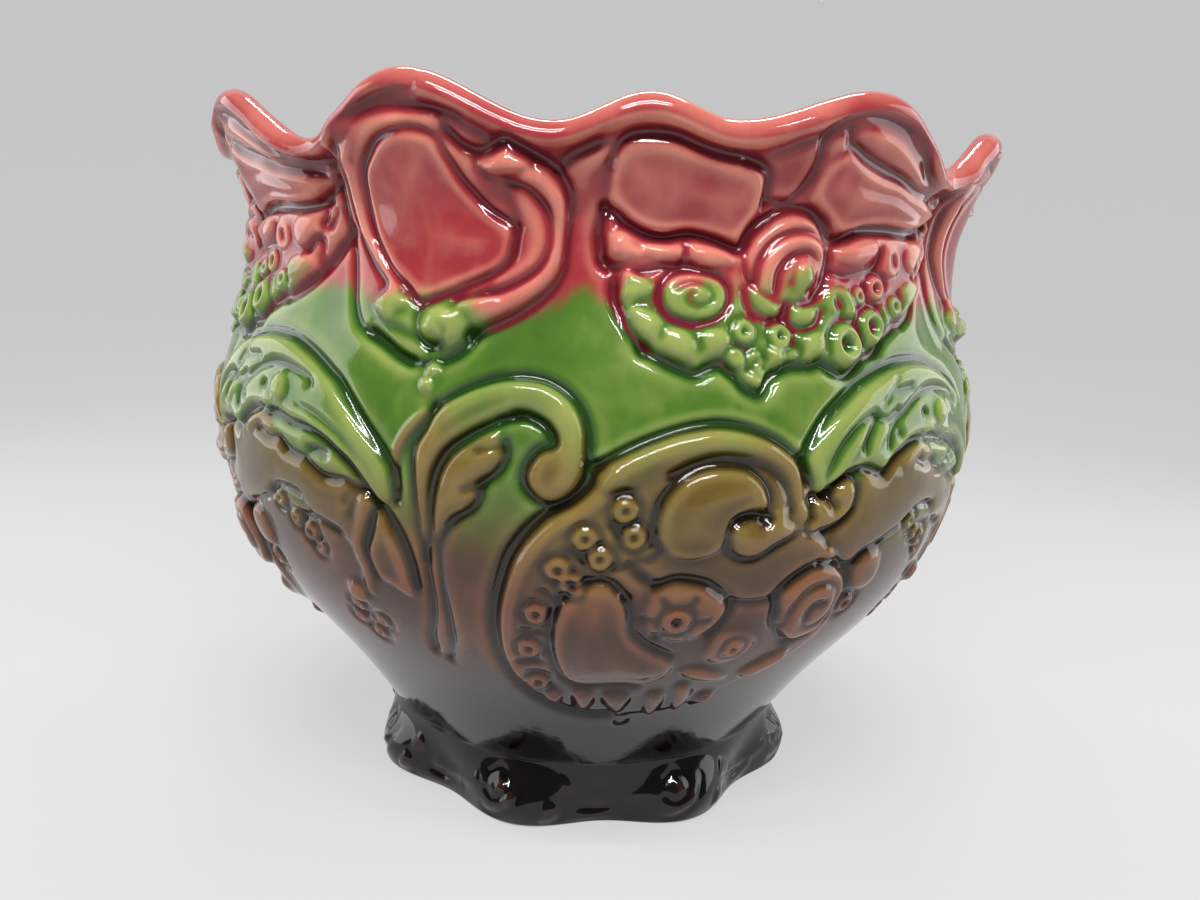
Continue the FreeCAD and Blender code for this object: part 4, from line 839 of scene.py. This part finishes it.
    def whole(self):
        """Points of the whole pot in metres, (rows, columns, 3), with unit normals and the glaze masks."""
        radius = np.vstack([rows[0] for rows in self.rows])
        height = np.vstack([rows[1] for rows in self.rows])
        layers = {name: np.tile(np.vstack([rows[2][name] for rows in self.rows]), (1, QUARTERS))
                  for name in self.LAYERS}
        turns = (np.arange(QUARTERS)[:, None] * QUARTER + self.azimuth).ravel()
        radius, height = np.tile(radius, (1, QUARTERS)), np.tile(height, (1, QUARTERS))
        angle = np.radians(turns)[None, :]
        points = np.stack([radius * np.sin(angle), -radius * np.cos(angle), height], axis=-1) * MM
        across = np.roll(points, -1, axis=1) - np.roll(points, 1, axis=1)
        along = np.gradient(points, axis=0)
        normals = np.cross(across, along)
        length = np.linalg.norm(normals, axis=-1, keepdims=True)
        normals = np.where(length > 1e-14, normals / np.maximum(length, 1e-14), [0.0, 0.0, 1.0])
        normals[0] = (0.0, 0.0, -1.0)
        normals[-1] = (0.0, 0.0, 1.0)
        return points, normals, layers


# ------------------------------------------------------------------ meshes

def grid_piece(name, points, normals, layers, closed, material):
    """A mesh object from a grid of points: four-sided faces between rows, and a fan where a row is a point.

    A closed grid joins its last column to its first.
    """
    rows, columns = points.shape[:2]
    pole_low, pole_high = (np.ptp(points[row], axis=0).max() < 1e-9 for row in (0, -1))
    number = np.arange(rows * columns).reshape(rows, columns)
    following = np.roll(number, -1, axis=1) if closed else number[:, 1:]
    number = number if closed else number[:, :-1]
    body = slice(1 if pole_low else 0, rows - 2 if pole_high else rows - 1)
    quads = np.stack([number[:-1][body], following[:-1][body], following[1:][body], number[1:][body]],
                     axis=-1).reshape(-1, 4)
    fans = []
    if pole_low:
        fans.append(np.stack([np.zeros_like(number[0]), following[1], number[1]], axis=-1))
    if pole_high:
        fans.append(np.stack([number[-2], following[-2], np.full_like(number[0], number[-1, 0])], axis=-1))
    fans = np.vstack(fans) if fans else np.empty((0, 3), int)
    corners = np.concatenate([quads.ravel(), fans.ravel()])
    used, corners = np.unique(corners, return_inverse=True)
    starts = np.concatenate([np.arange(len(quads)) * 4, len(quads) * 4 + np.arange(len(fans)) * 3])
    mesh = bpy.data.meshes.new(name)
    mesh.vertices.add(len(used))
    mesh.vertices.foreach_set("co", points.reshape(-1, 3)[used].ravel())
    mesh.loops.add(len(corners))
    mesh.loops.foreach_set("vertex_index", corners.astype(np.int32))
    mesh.polygons.add(len(starts))
    mesh.polygons.foreach_set("loop_start", starts.astype(np.int32))
    mesh.update(calc_edges=True)
    for layer, values in layers.items():
        attribute = mesh.attributes.new(layer, "FLOAT", "POINT")
        attribute.data.foreach_set("value", values.ravel()[used].astype(np.float32))
    mesh.polygons.foreach_set("use_smooth", np.ones(len(starts), bool))
    mesh.normals_split_custom_set_from_vertices(normals.reshape(-1, 3)[used])
    mesh.validate()
    mesh.materials.append(material)
    piece = bpy.data.objects.new(name, mesh)
    bpy.context.scene.collection.objects.link(piece)
    return piece


def finish_piece(piece, slot, nodes):
    """The piece rides on the pot's one body and stands for its CAD nodes, which it hides. Its slot is not
    used.
    """
    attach(piece, "root")
    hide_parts(*nodes)


# ------------------------------------------------------------------ shader helpers

def srgb(red, green, blue):
    """A colour written from 0 to 255 as a screen shows it, as the linear colour that shaders use."""
    def linear(value):
        value /= 255.0
        return value / 12.92 if value <= 0.04045 else ((value + 0.055) / 1.055) ** 2.4
    return (linear(red), linear(green), linear(blue), 1.0)


class Value:
    """A number socket of a node tree. Arithmetic on it makes Math nodes."""

    def __init__(self, paint, socket):
        self.paint, self.socket = paint, socket

    def math(self, operation, *others, swap=False):
        terms = [self, *others]
        return self.paint.math(operation, *(reversed(terms) if swap else terms))

    def __add__(self, other):
        return self.math("ADD", other)

    def __sub__(self, other):
        return self.math("SUBTRACT", other)

    def __rsub__(self, other):
        return self.math("SUBTRACT", other, swap=True)

    def __mul__(self, other):
        return self.math("MULTIPLY", other)

    def __truediv__(self, other):
        return self.math("DIVIDE", other)

    __radd__, __rmul__ = __add__, __mul__

    def clamp(self, low=0.0, high=1.0):
        return self.math("MAXIMUM", low).math("MINIMUM", high)

    def ramp(self, start, stop):
        """0 at start, 1 at stop, and a smooth step between. The start may be above the stop."""
        share = ((self - start) / (stop - start)).clamp()
        return share * share * (3.0 - 2.0 * share)


class Paint:
    """The nodes of one material."""

    def __init__(self, name):
        self.material = bpy.data.materials.new(name)
        self.material.use_nodes = True
        self.tree = self.material.node_tree
        self.tree.nodes.clear()

    def node(self, kind, settings=None, **sockets):
        """A node of a kind. Its settings are set first, and then its sockets, by name or number."""
        node = self.tree.nodes.new(kind)
        for name, value in (settings or {}).items():
            setattr(node, name, value)
        for name, value in sockets.items():
            self.feed(node.inputs[int(name[1:]) if name[1:].isdigit() else name.replace("_", " ")], value)
        return node

    def feed(self, socket, value):
        """Links a socket to a value, or sets it where the value is a plain number or colour."""
        if isinstance(value, Value):
            self.tree.links.new(value.socket, socket)
        elif isinstance(value, bpy.types.NodeSocket):
            self.tree.links.new(value, socket)
        else:
            socket.default_value = value

    def math(self, operation, *terms):
        sockets = {f"_{number}": term for number, term in enumerate(terms)}
        return Value(self, self.node("ShaderNodeMath", {"operation": operation}, **sockets).outputs[0])

    def mix(self, share, low, high):
        """A colour between two others."""
        node = self.node("ShaderNodeMix", {"data_type": "RGBA"}, _0=share, _6=low, _7=high)
        return node.outputs[2]

    def attribute(self, name):
        return Value(self, self.node("ShaderNodeAttribute", {"attribute_name": name}).outputs["Fac"])

    def place(self):
        """The point on the surface in the pot's own frame, as a vector socket."""
        return self.node("ShaderNodeTexCoord").outputs["Object"]

    def scaled(self, vector, scale):
        return self.node("ShaderNodeVectorMath", {"operation": "MULTIPLY"}, _0=vector, _1=scale).outputs[0]

    def noise(self, vector, scale, detail=3.0, roughness=0.55):
        """Noise that varies about 0, mostly from -0.5 to 0.5."""
        node = self.node("ShaderNodeTexNoise", Vector=vector, Scale=scale, Detail=detail, Roughness=roughness)
        return Value(self, node.outputs["Fac"]) - 0.5

    def finish(self, shader):
        output = self.node("ShaderNodeOutputMaterial")
        self.tree.links.new(shader.outputs[0], output.inputs["Surface"])
        return self.material


# ------------------------------------------------------------------ glazes

# Each glaze where it is thin, of middling thickness and thick.
ROSE = (srgb(216, 138, 118), srgb(152, 52, 56), srgb(98, 24, 34))
GREEN = (srgb(150, 162, 88), srgb(76, 110, 38), srgb(28, 58, 20))
OLIVE = (srgb(138, 116, 62), srgb(92, 74, 32), srgb(32, 27, 13))
BROWN = (srgb(146, 92, 66), srgb(76, 48, 36), srgb(22, 14, 11))
BLACK = (srgb(72, 38, 28), srgb(15, 11, 11), srgb(5, 4, 4))
CLAY = srgb(196, 158, 118)

# Heights in mm over which one glaze runs into the next, where nothing shifts it.
BLACK_TO_BROWN = (42.0, 70.0)
BROWN_TO_OLIVE = (84.0, 112.0)
OLIVE_TO_GREEN = (96.0, 118.0)
GREEN_TO_ROSE = (152.7, 159.0)
INSIDE_TO_ROSE = (128.0, 150.0)


def outside_glaze(name, settings):
    """Coloured glazes that run from rose at the rim through green and olive to near black at the foot.

    The colour follows the height, blurred by drips that are long and narrow. Grooves hold more glaze and
    turn dark, and raised edges hold less and turn pale. On the lip the edge mask is a painted highlight: a
    pale band on its upper outer face, where it faces the lamps.
    """
    paint = Paint(name)
    place = paint.place()
    height = Value(paint, paint.node("ShaderNodeSeparateXYZ", Vector=place).outputs["Z"]) / MM
    pool, edge = paint.attribute("pool"), paint.attribute("edge")
    lift, spray, motif = paint.attribute("lift"), paint.attribute("spray"), paint.attribute("motif")
    drips = paint.noise(paint.scaled(place, (1.0, 1.0, 0.12)), 75.0, 4.0)
    wide_drips = paint.noise(paint.scaled(place, (1.0, 1.0, 0.2)), 28.0, 2.0)
    cloud = paint.noise(place, 30.0, 4.0)
    mottle = paint.noise(place, 240.0, 4.0)
    # Thin glaze on raised relief pales here, and so does the lip's painted highlight band, through the same
    # edge mask.
    thick = pool * settings.pooling - edge * settings.edge_wear_and_lip_highlight * (mottle + 0.9)
    thick = thick + cloud * 0.9 + drips * 0.7 + mottle * 0.3

    def glaze(shades, shift):
        thin, middle, deep = shades
        colour = paint.mix((thick * -1.0 - shift).clamp(0.0, 0.95), middle, thin)
        return paint.mix((thick + shift).clamp(0.0, 0.95), colour, deep)

    to_olive = (height + drips * 16.0 + wide_drips * 22.0).ramp(*BROWN_TO_OLIVE)
    colour = paint.mix(to_olive, glaze(BROWN, 0.05), glaze(OLIVE, 0.0))
    to_green = (height + drips * 16.0 + wide_drips * 24.0 - motif * 22.0 - pool * 4.0).ramp(*OLIVE_TO_GREEN)
    colour = paint.mix(to_green, colour, glaze(GREEN, 0.05))
    to_rose = (height + drips * 20.0 + wide_drips * 6.0 - spray * (lift * 2.5 - pool * 6.0)
               + pool * 3.0).ramp(*GREEN_TO_ROSE)
    colour = paint.mix(to_rose, colour, glaze(ROSE, 0.0))
    black = (height + wide_drips * 10.0).ramp(*BLACK_TO_BROWN[::-1])
    colour = paint.mix(black, colour, glaze(BLACK, 0.2))

    orange_peel = paint.noise(place, 420.0, 2.0)
    bump = paint.node("ShaderNodeBump", Strength=0.08, Distance=0.0004, Height=orange_peel)
    shader = paint.node("ShaderNodeBsdfPrincipled", Base_Color=colour, Normal=bump.outputs[0],
                        Roughness=(mottle * 0.08 + 0.09).clamp(0.04, 0.3), IOR=1.5)
    return paint.finish(shader)


def inside_glaze(name):
    """A thinner glaze inside: rose under the lip, and a pale mottled cream green below."""
    paint = Paint(name)
    place = paint.place()
    height = Value(paint, paint.node("ShaderNodeSeparateXYZ", Vector=place).outputs["Z"]) / MM
    drips = paint.noise(paint.scaled(place, (1.0, 1.0, 0.12)), 60.0, 4.0)
    cloud = paint.noise(place, 22.0, 4.0)
    mottle = paint.noise(place, 260.0, 3.0)
    rose = paint.mix((cloud + mottle * 0.4 + 0.5).clamp(), srgb(120, 58, 56), srgb(160, 86, 78))
    pale = paint.mix((cloud * 1.2 + mottle * 0.5 + 0.5).clamp(), srgb(186, 176, 118), srgb(222, 212, 168))
    colour = paint.mix((height + drips * 40.0).ramp(*INSIDE_TO_ROSE), pale, rose)
    bump = paint.node("ShaderNodeBump", Strength=0.08, Distance=0.0004, Height=paint.noise(place, 420.0, 2.0))
    shader = paint.node("ShaderNodeBsdfPrincipled", Base_Color=colour, Normal=bump.outputs[0],
                        Roughness=(mottle * 0.08 + 0.12).clamp(0.05, 0.3), IOR=1.52)
    return paint.finish(shader)


def bare_clay(name):
    """Unglazed clay underneath: warm, matt and fine-grained, with brown glaze that ran under the edge."""
    paint = Paint(name)
    place = paint.place()
    grain = paint.noise(place, 900.0, 5.0)
    cloud = paint.noise(place, 40.0, 3.0)
    clay = paint.mix((grain * 0.8 + cloud + 0.5).clamp(), srgb(150, 110, 76), CLAY)
    stain = cloud.ramp(0.06, 0.14)
    colour = paint.mix(stain, clay, srgb(58, 36, 26))
    bump = paint.node("ShaderNodeBump", Strength=0.3, Distance=0.0003, Height=grain)
    shader = paint.node("ShaderNodeBsdfPrincipled", Base_Color=colour, Normal=bump.outputs[0],
                        Roughness=(0.8 - stain * 0.6).clamp(), IOR=1.5)
    return paint.finish(shader)


# ------------------------------------------------------------------ settings and operators

class JardiniereSettings(bpy.types.PropertyGroup):
    """What a user may set before building."""

    relief_depth: bpy.props.FloatProperty(
        name="Relief depth", description="How far the relief stands out, as a share of its moulded depth",
        default=1.0, min=0.0, max=1.3)
    pooling: bpy.props.FloatProperty(
        name="Pooling", description="How strongly the glaze darkens where it is thick, in grooves",
        default=1.0, min=0.0, max=2.0)
    # This also sets how bright the painted highlight band on the lip is, since it shares the edge mask.
    edge_wear_and_lip_highlight: bpy.props.FloatProperty(
        name="Pale edges", description="How strongly the glaze pales where it is thin, on raised edges",
        default=0.65, min=0.0, max=2.0)
    floor_colour: bpy.props.FloatVectorProperty(
        name="Floor", description="Colour of the floor and backdrop", subtype="COLOR", size=3,
        default=(0.68, 0.68, 0.675), min=0.0, max=1.0)


RELIEF_NODES = ["cartouche", "cartouche_scroll", "neck_panels", "cartouche_knob", "flower_spray",
                "spray_rose", "spray_berries", "leaf_arch", "wave_scroll", "garland_arch", "bean_panels",
                "bead_string", "garland_flower", "garland_shell"]


surfaces = {}                    # the quarter and the whole pot for each depth of relief, worked out once


def cut(settings, name, part, material, number=None):
    """The piece made of one part's rows: all the way round, or one quarter of it."""
    depth = settings.relief_depth
    if depth not in surfaces:
        quarter = Quarter(depth)
        surfaces[depth] = (quarter.parts, *quarter.whole())
    parts, points, normals, layers = surfaces[depth]
    start, stop = parts[part]
    rows = slice(start, min(stop + 1, points.shape[0]))
    columns = slice(0, points.shape[1])
    if number is not None:
        columns = np.arange(number * COLUMNS, (number + 1) * COLUMNS + 1) % points.shape[1]
    chosen = {layer: values[rows, columns] for layer, values in layers.items()}
    return grid_piece(name, points[rows, columns], normals[rows, columns], chosen, number is None, material)


def shared_glaze(settings):
    """The outside's glaze, which all the outside pieces share. The first piece that asks makes it."""
    return bpy.data.materials.get("outside_glaze") or outside_glaze("outside_glaze", settings)


class JARDINIERE_OT_relief(bpy.types.Operator):
    """Builds the wall's outside with its relief: neck, belly and flank, each in four quarters"""

    bl_idname = "jardiniere.relief"
    bl_label = "Build the relief"

    def execute(self, context):
        settings = context.scene.jardiniere
        glaze = shared_glaze(settings)
        nodes = [f"{node}_{number}" for node in RELIEF_NODES for number in range(1, QUARTERS + 1)]
        for part, slot in (("neck", "rose_glaze"), ("belly", "green_glaze"), ("flank", "brown_glaze")):
            for number in range(QUARTERS):
                piece = cut(settings, f"{part}_relief_{number + 1}", part, glaze, number)
                finish_piece(piece, slot, ["bowl_wall"] + nodes)
        return {"FINISHED"}


class JARDINIERE_OT_lip(bpy.types.Operator):
    """Builds the rolled lip along the scalloped rim"""

    bl_idname = "jardiniere.lip"
    bl_label = "Build the lip"

    def execute(self, context):
        settings = context.scene.jardiniere
        piece = cut(settings, "rolled_lip", "lip", shared_glaze(settings))
        finish_piece(piece, "rose_glaze", ["rim_lip"])
        return {"FINISHED"}


class JARDINIERE_OT_foot(bpy.types.Operator):
    """Builds the foot's outside with its toes and scrolls"""

    bl_idname = "jardiniere.foot"
    bl_label = "Build the foot"

    def execute(self, context):
        settings = context.scene.jardiniere
        piece = cut(settings, "foot_relief", "foot", shared_glaze(settings))
        finish_piece(piece, "dark_glaze", ["foot_ring"])
        return {"FINISHED"}


class JARDINIERE_OT_inside(bpy.types.Operator):
    """Builds the inside of the bowl down to its floor"""

    bl_idname = "jardiniere.inside"
    bl_label = "Build the inside"

    def execute(self, context):
        piece = cut(context.scene.jardiniere, "inside_of_bowl", "inside", inside_glaze("inside_glaze"))
        finish_piece(piece, "bowl_glaze", ["bowl_wall", "bowl_floor"])
        return {"FINISHED"}


class JARDINIERE_OT_underside(bpy.types.Operator):
    """Builds the bare clay underneath: the hollow of the foot and its resting face"""

    bl_idname = "jardiniere.underside"
    bl_label = "Build the underside"

    def execute(self, context):
        piece = cut(context.scene.jardiniere, "underside", "underside", bare_clay("bare_clay"))
        finish_piece(piece, "bowl_glaze", ["bowl_floor", "foot_ring"])
        return {"FINISHED"}


CAMERA_PLACE = (0.0, -0.3208, 0.165)
CAMERA_PITCH = 11.4              # degrees below the horizon
CAMERA_ROLL = 2.55               # degrees that the picture is turned
CAMERA_LENS = 28.5               # millimetres
SENSOR_WIDTH = 36.0              # millimetres
CAMERA_SHIFT = 8.3 / 1200.0      # share of the picture's width

# Lamps of the light box: name, place, size across and up, the point that it faces, and power in watts.
LAMPS = [
    ("front_strip", (0.0, -0.46, 0.54), (0.42, 0.012), (0.0, -0.10, 0.10), 2.3),
    ("second_strip", (0.0, -0.34, 0.58), (0.42, 0.012), (0.0, -0.10, 0.10), 2.0),
    ("back_strip", (0.0, 0.20, 0.60), (0.42, 0.03), (0.0, 0.0, 0.10), 2.0),
    ("left_wall", (-0.60, 0.05, 0.25), (0.5, 0.5), (0.0, 0.0, 0.10), 1.8),
    ("right_wall", (0.60, 0.05, 0.25), (0.5, 0.5), (0.0, 0.0, 0.10), 1.8),
]

FLOOR_SEEN = (0.78, 0.78, 0.78, 1.0)   # what the camera and reflections see of the floor, besides its shading
FLOOR_SEEN_SHARE = 0.7
WORLD_COLOUR = (0.93, 0.95, 1.0, 1.0)
WORLD_STRENGTH = 0.12


class JARDINIERE_OT_stage(bpy.types.Operator):
    """Lays a plain pale floor with a backdrop, and adds soft lamps and the camera"""

    bl_idname = "jardiniere.stage"
    bl_label = "Build the stage"

    def execute(self, context):
        context.scene.view_settings.view_transform = "Standard"
        self.build_sweep(context.scene.jardiniere.floor_colour)
        self.add_lamps()
        self.add_world()
        self.add_camera()
        return {"FINISHED"}

    def build_sweep(self, colour):
        """The floor and backdrop in one sheet: flat, then a quarter circle, then upright."""
        half_width, front, back, bend, top = 2.6, -2.0, 1.3, 0.5, 2.6
        side = np.linspace(-half_width, half_width, 27)
        turn = np.linspace(0, math.pi / 2, 24)
        depth = np.concatenate([np.linspace(front, back, 20), back + bend * np.sin(turn[1:]),
                                np.full(6, back + bend)])
        level = np.concatenate([np.zeros(20), bend - bend * np.cos(turn[1:]),
                                np.linspace(bend + 0.3, top, 6)])
        points = np.stack([np.tile(side, (len(depth), 1)), np.tile(depth[:, None], (1, len(side))),
                           np.tile(level[:, None], (1, len(side)))], axis=-1)
        normals = np.zeros_like(points)
        normals[..., 2] = 1.0
        paint = Paint("pale_floor")
        grain = paint.noise(paint.place(), 60.0, 3.0)
        colour = (*colour, 1.0)
        tint = paint.mix((grain * 0.06 + 0.03).clamp(), colour, (0.5, 0.5, 0.5, 1.0))
        shader = paint.node("ShaderNodeBsdfPrincipled", Base_Color=tint, Roughness=0.55)
        seen = paint.node("ShaderNodeEmission", Color=FLOOR_SEEN, Strength=1.0)
        rays = paint.node("ShaderNodeLightPath")
        straight = Value(paint, rays.outputs["Is Camera Ray"])
        share = straight + Value(paint, rays.outputs["Is Glossy Ray"])
        share = (share + Value(paint, rays.outputs["Is Transmission Ray"])).clamp() * FLOOR_SEEN_SHARE
        blend = paint.node("ShaderNodeMixShader", _0=share, _1=shader.outputs[0], _2=seen.outputs[0])
        sweep = grid_piece("floor_sweep", points, normals, {}, False, paint.finish(blend))

    def add_lamps(self):
        for name, place, size, target, power in LAMPS:
            lamp = bpy.data.lights.new(name, "AREA")
            lamp.shape = "RECTANGLE"
            lamp.size, lamp.size_y = size
            lamp.energy = power
            holder = bpy.data.objects.new(name, lamp)
            holder.location = place
            aim = Vector(target) - Vector(place)
            holder.rotation_euler = aim.to_track_quat("-Z", "Y").to_euler()
            bpy.context.scene.collection.objects.link(holder)

    def add_world(self):
        world = bpy.data.worlds.new("studio")
        world.use_nodes = True
        world.node_tree.nodes["Background"].inputs["Color"].default_value = WORLD_COLOUR
        world.node_tree.nodes["Background"].inputs["Strength"].default_value = WORLD_STRENGTH
        bpy.context.scene.world = world

    def add_camera(self):
        camera = bpy.data.cameras.new("camera")
        camera.lens, camera.sensor_width = CAMERA_LENS, SENSOR_WIDTH
        camera.shift_x = CAMERA_SHIFT
        holder = bpy.data.objects.new("camera", camera)
        upright = Matrix.Rotation(math.radians(90.0 - CAMERA_PITCH), 4, "X")
        holder.matrix_world = (Matrix.Translation(CAMERA_PLACE) @ upright
                               @ Matrix.Rotation(math.radians(CAMERA_ROLL), 4, "Z"))
        bpy.context.scene.collection.objects.link(holder)
        bpy.context.scene.camera = holder


class JARDINIERE_PT_panel(bpy.types.Panel):
    """Builds the pot and its stage, with the settings that each uses"""

    bl_idname = "JARDINIERE_PT_panel"
    bl_label = "Jardiniere"
    bl_space_type = "VIEW_3D"
    bl_region_type = "UI"
    bl_category = "Jardiniere"

    def draw(self, context):
        settings = context.scene.jardiniere
        for name in ("relief_depth", "pooling", "edge_wear_and_lip_highlight"):
            self.layout.prop(settings, name)
        for operator in PIECE_OPERATORS:
            self.layout.operator(operator.bl_idname)
        self.layout.separator()
        self.layout.prop(settings, "floor_colour")
        self.layout.operator(JARDINIERE_OT_stage.bl_idname)


PIECE_OPERATORS = (JARDINIERE_OT_relief, JARDINIERE_OT_lip, JARDINIERE_OT_foot, JARDINIERE_OT_inside,
                   JARDINIERE_OT_underside)
CLASSES = (JardiniereSettings, *PIECE_OPERATORS, JARDINIERE_OT_stage, JARDINIERE_PT_panel)


def register():
    for item in CLASSES:
        bpy.utils.register_class(item)
    bpy.types.Scene.jardiniere = bpy.props.PointerProperty(type=JardiniereSettings)


def unregister():
    del bpy.types.Scene.jardiniere
    for item in reversed(CLASSES):
        bpy.utils.unregister_class(item)


def main():
    """Registers the add-on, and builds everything."""
    register()
    bpy.ops.jardiniere.relief()
    bpy.ops.jardiniere.lip()
    bpy.ops.jardiniere.foot()
    bpy.ops.jardiniere.inside()
    bpy.ops.jardiniere.underside()
    bpy.ops.jardiniere.stage()
    bpy.context.view_layer.update()


if __name__ == "__main__":
    main()
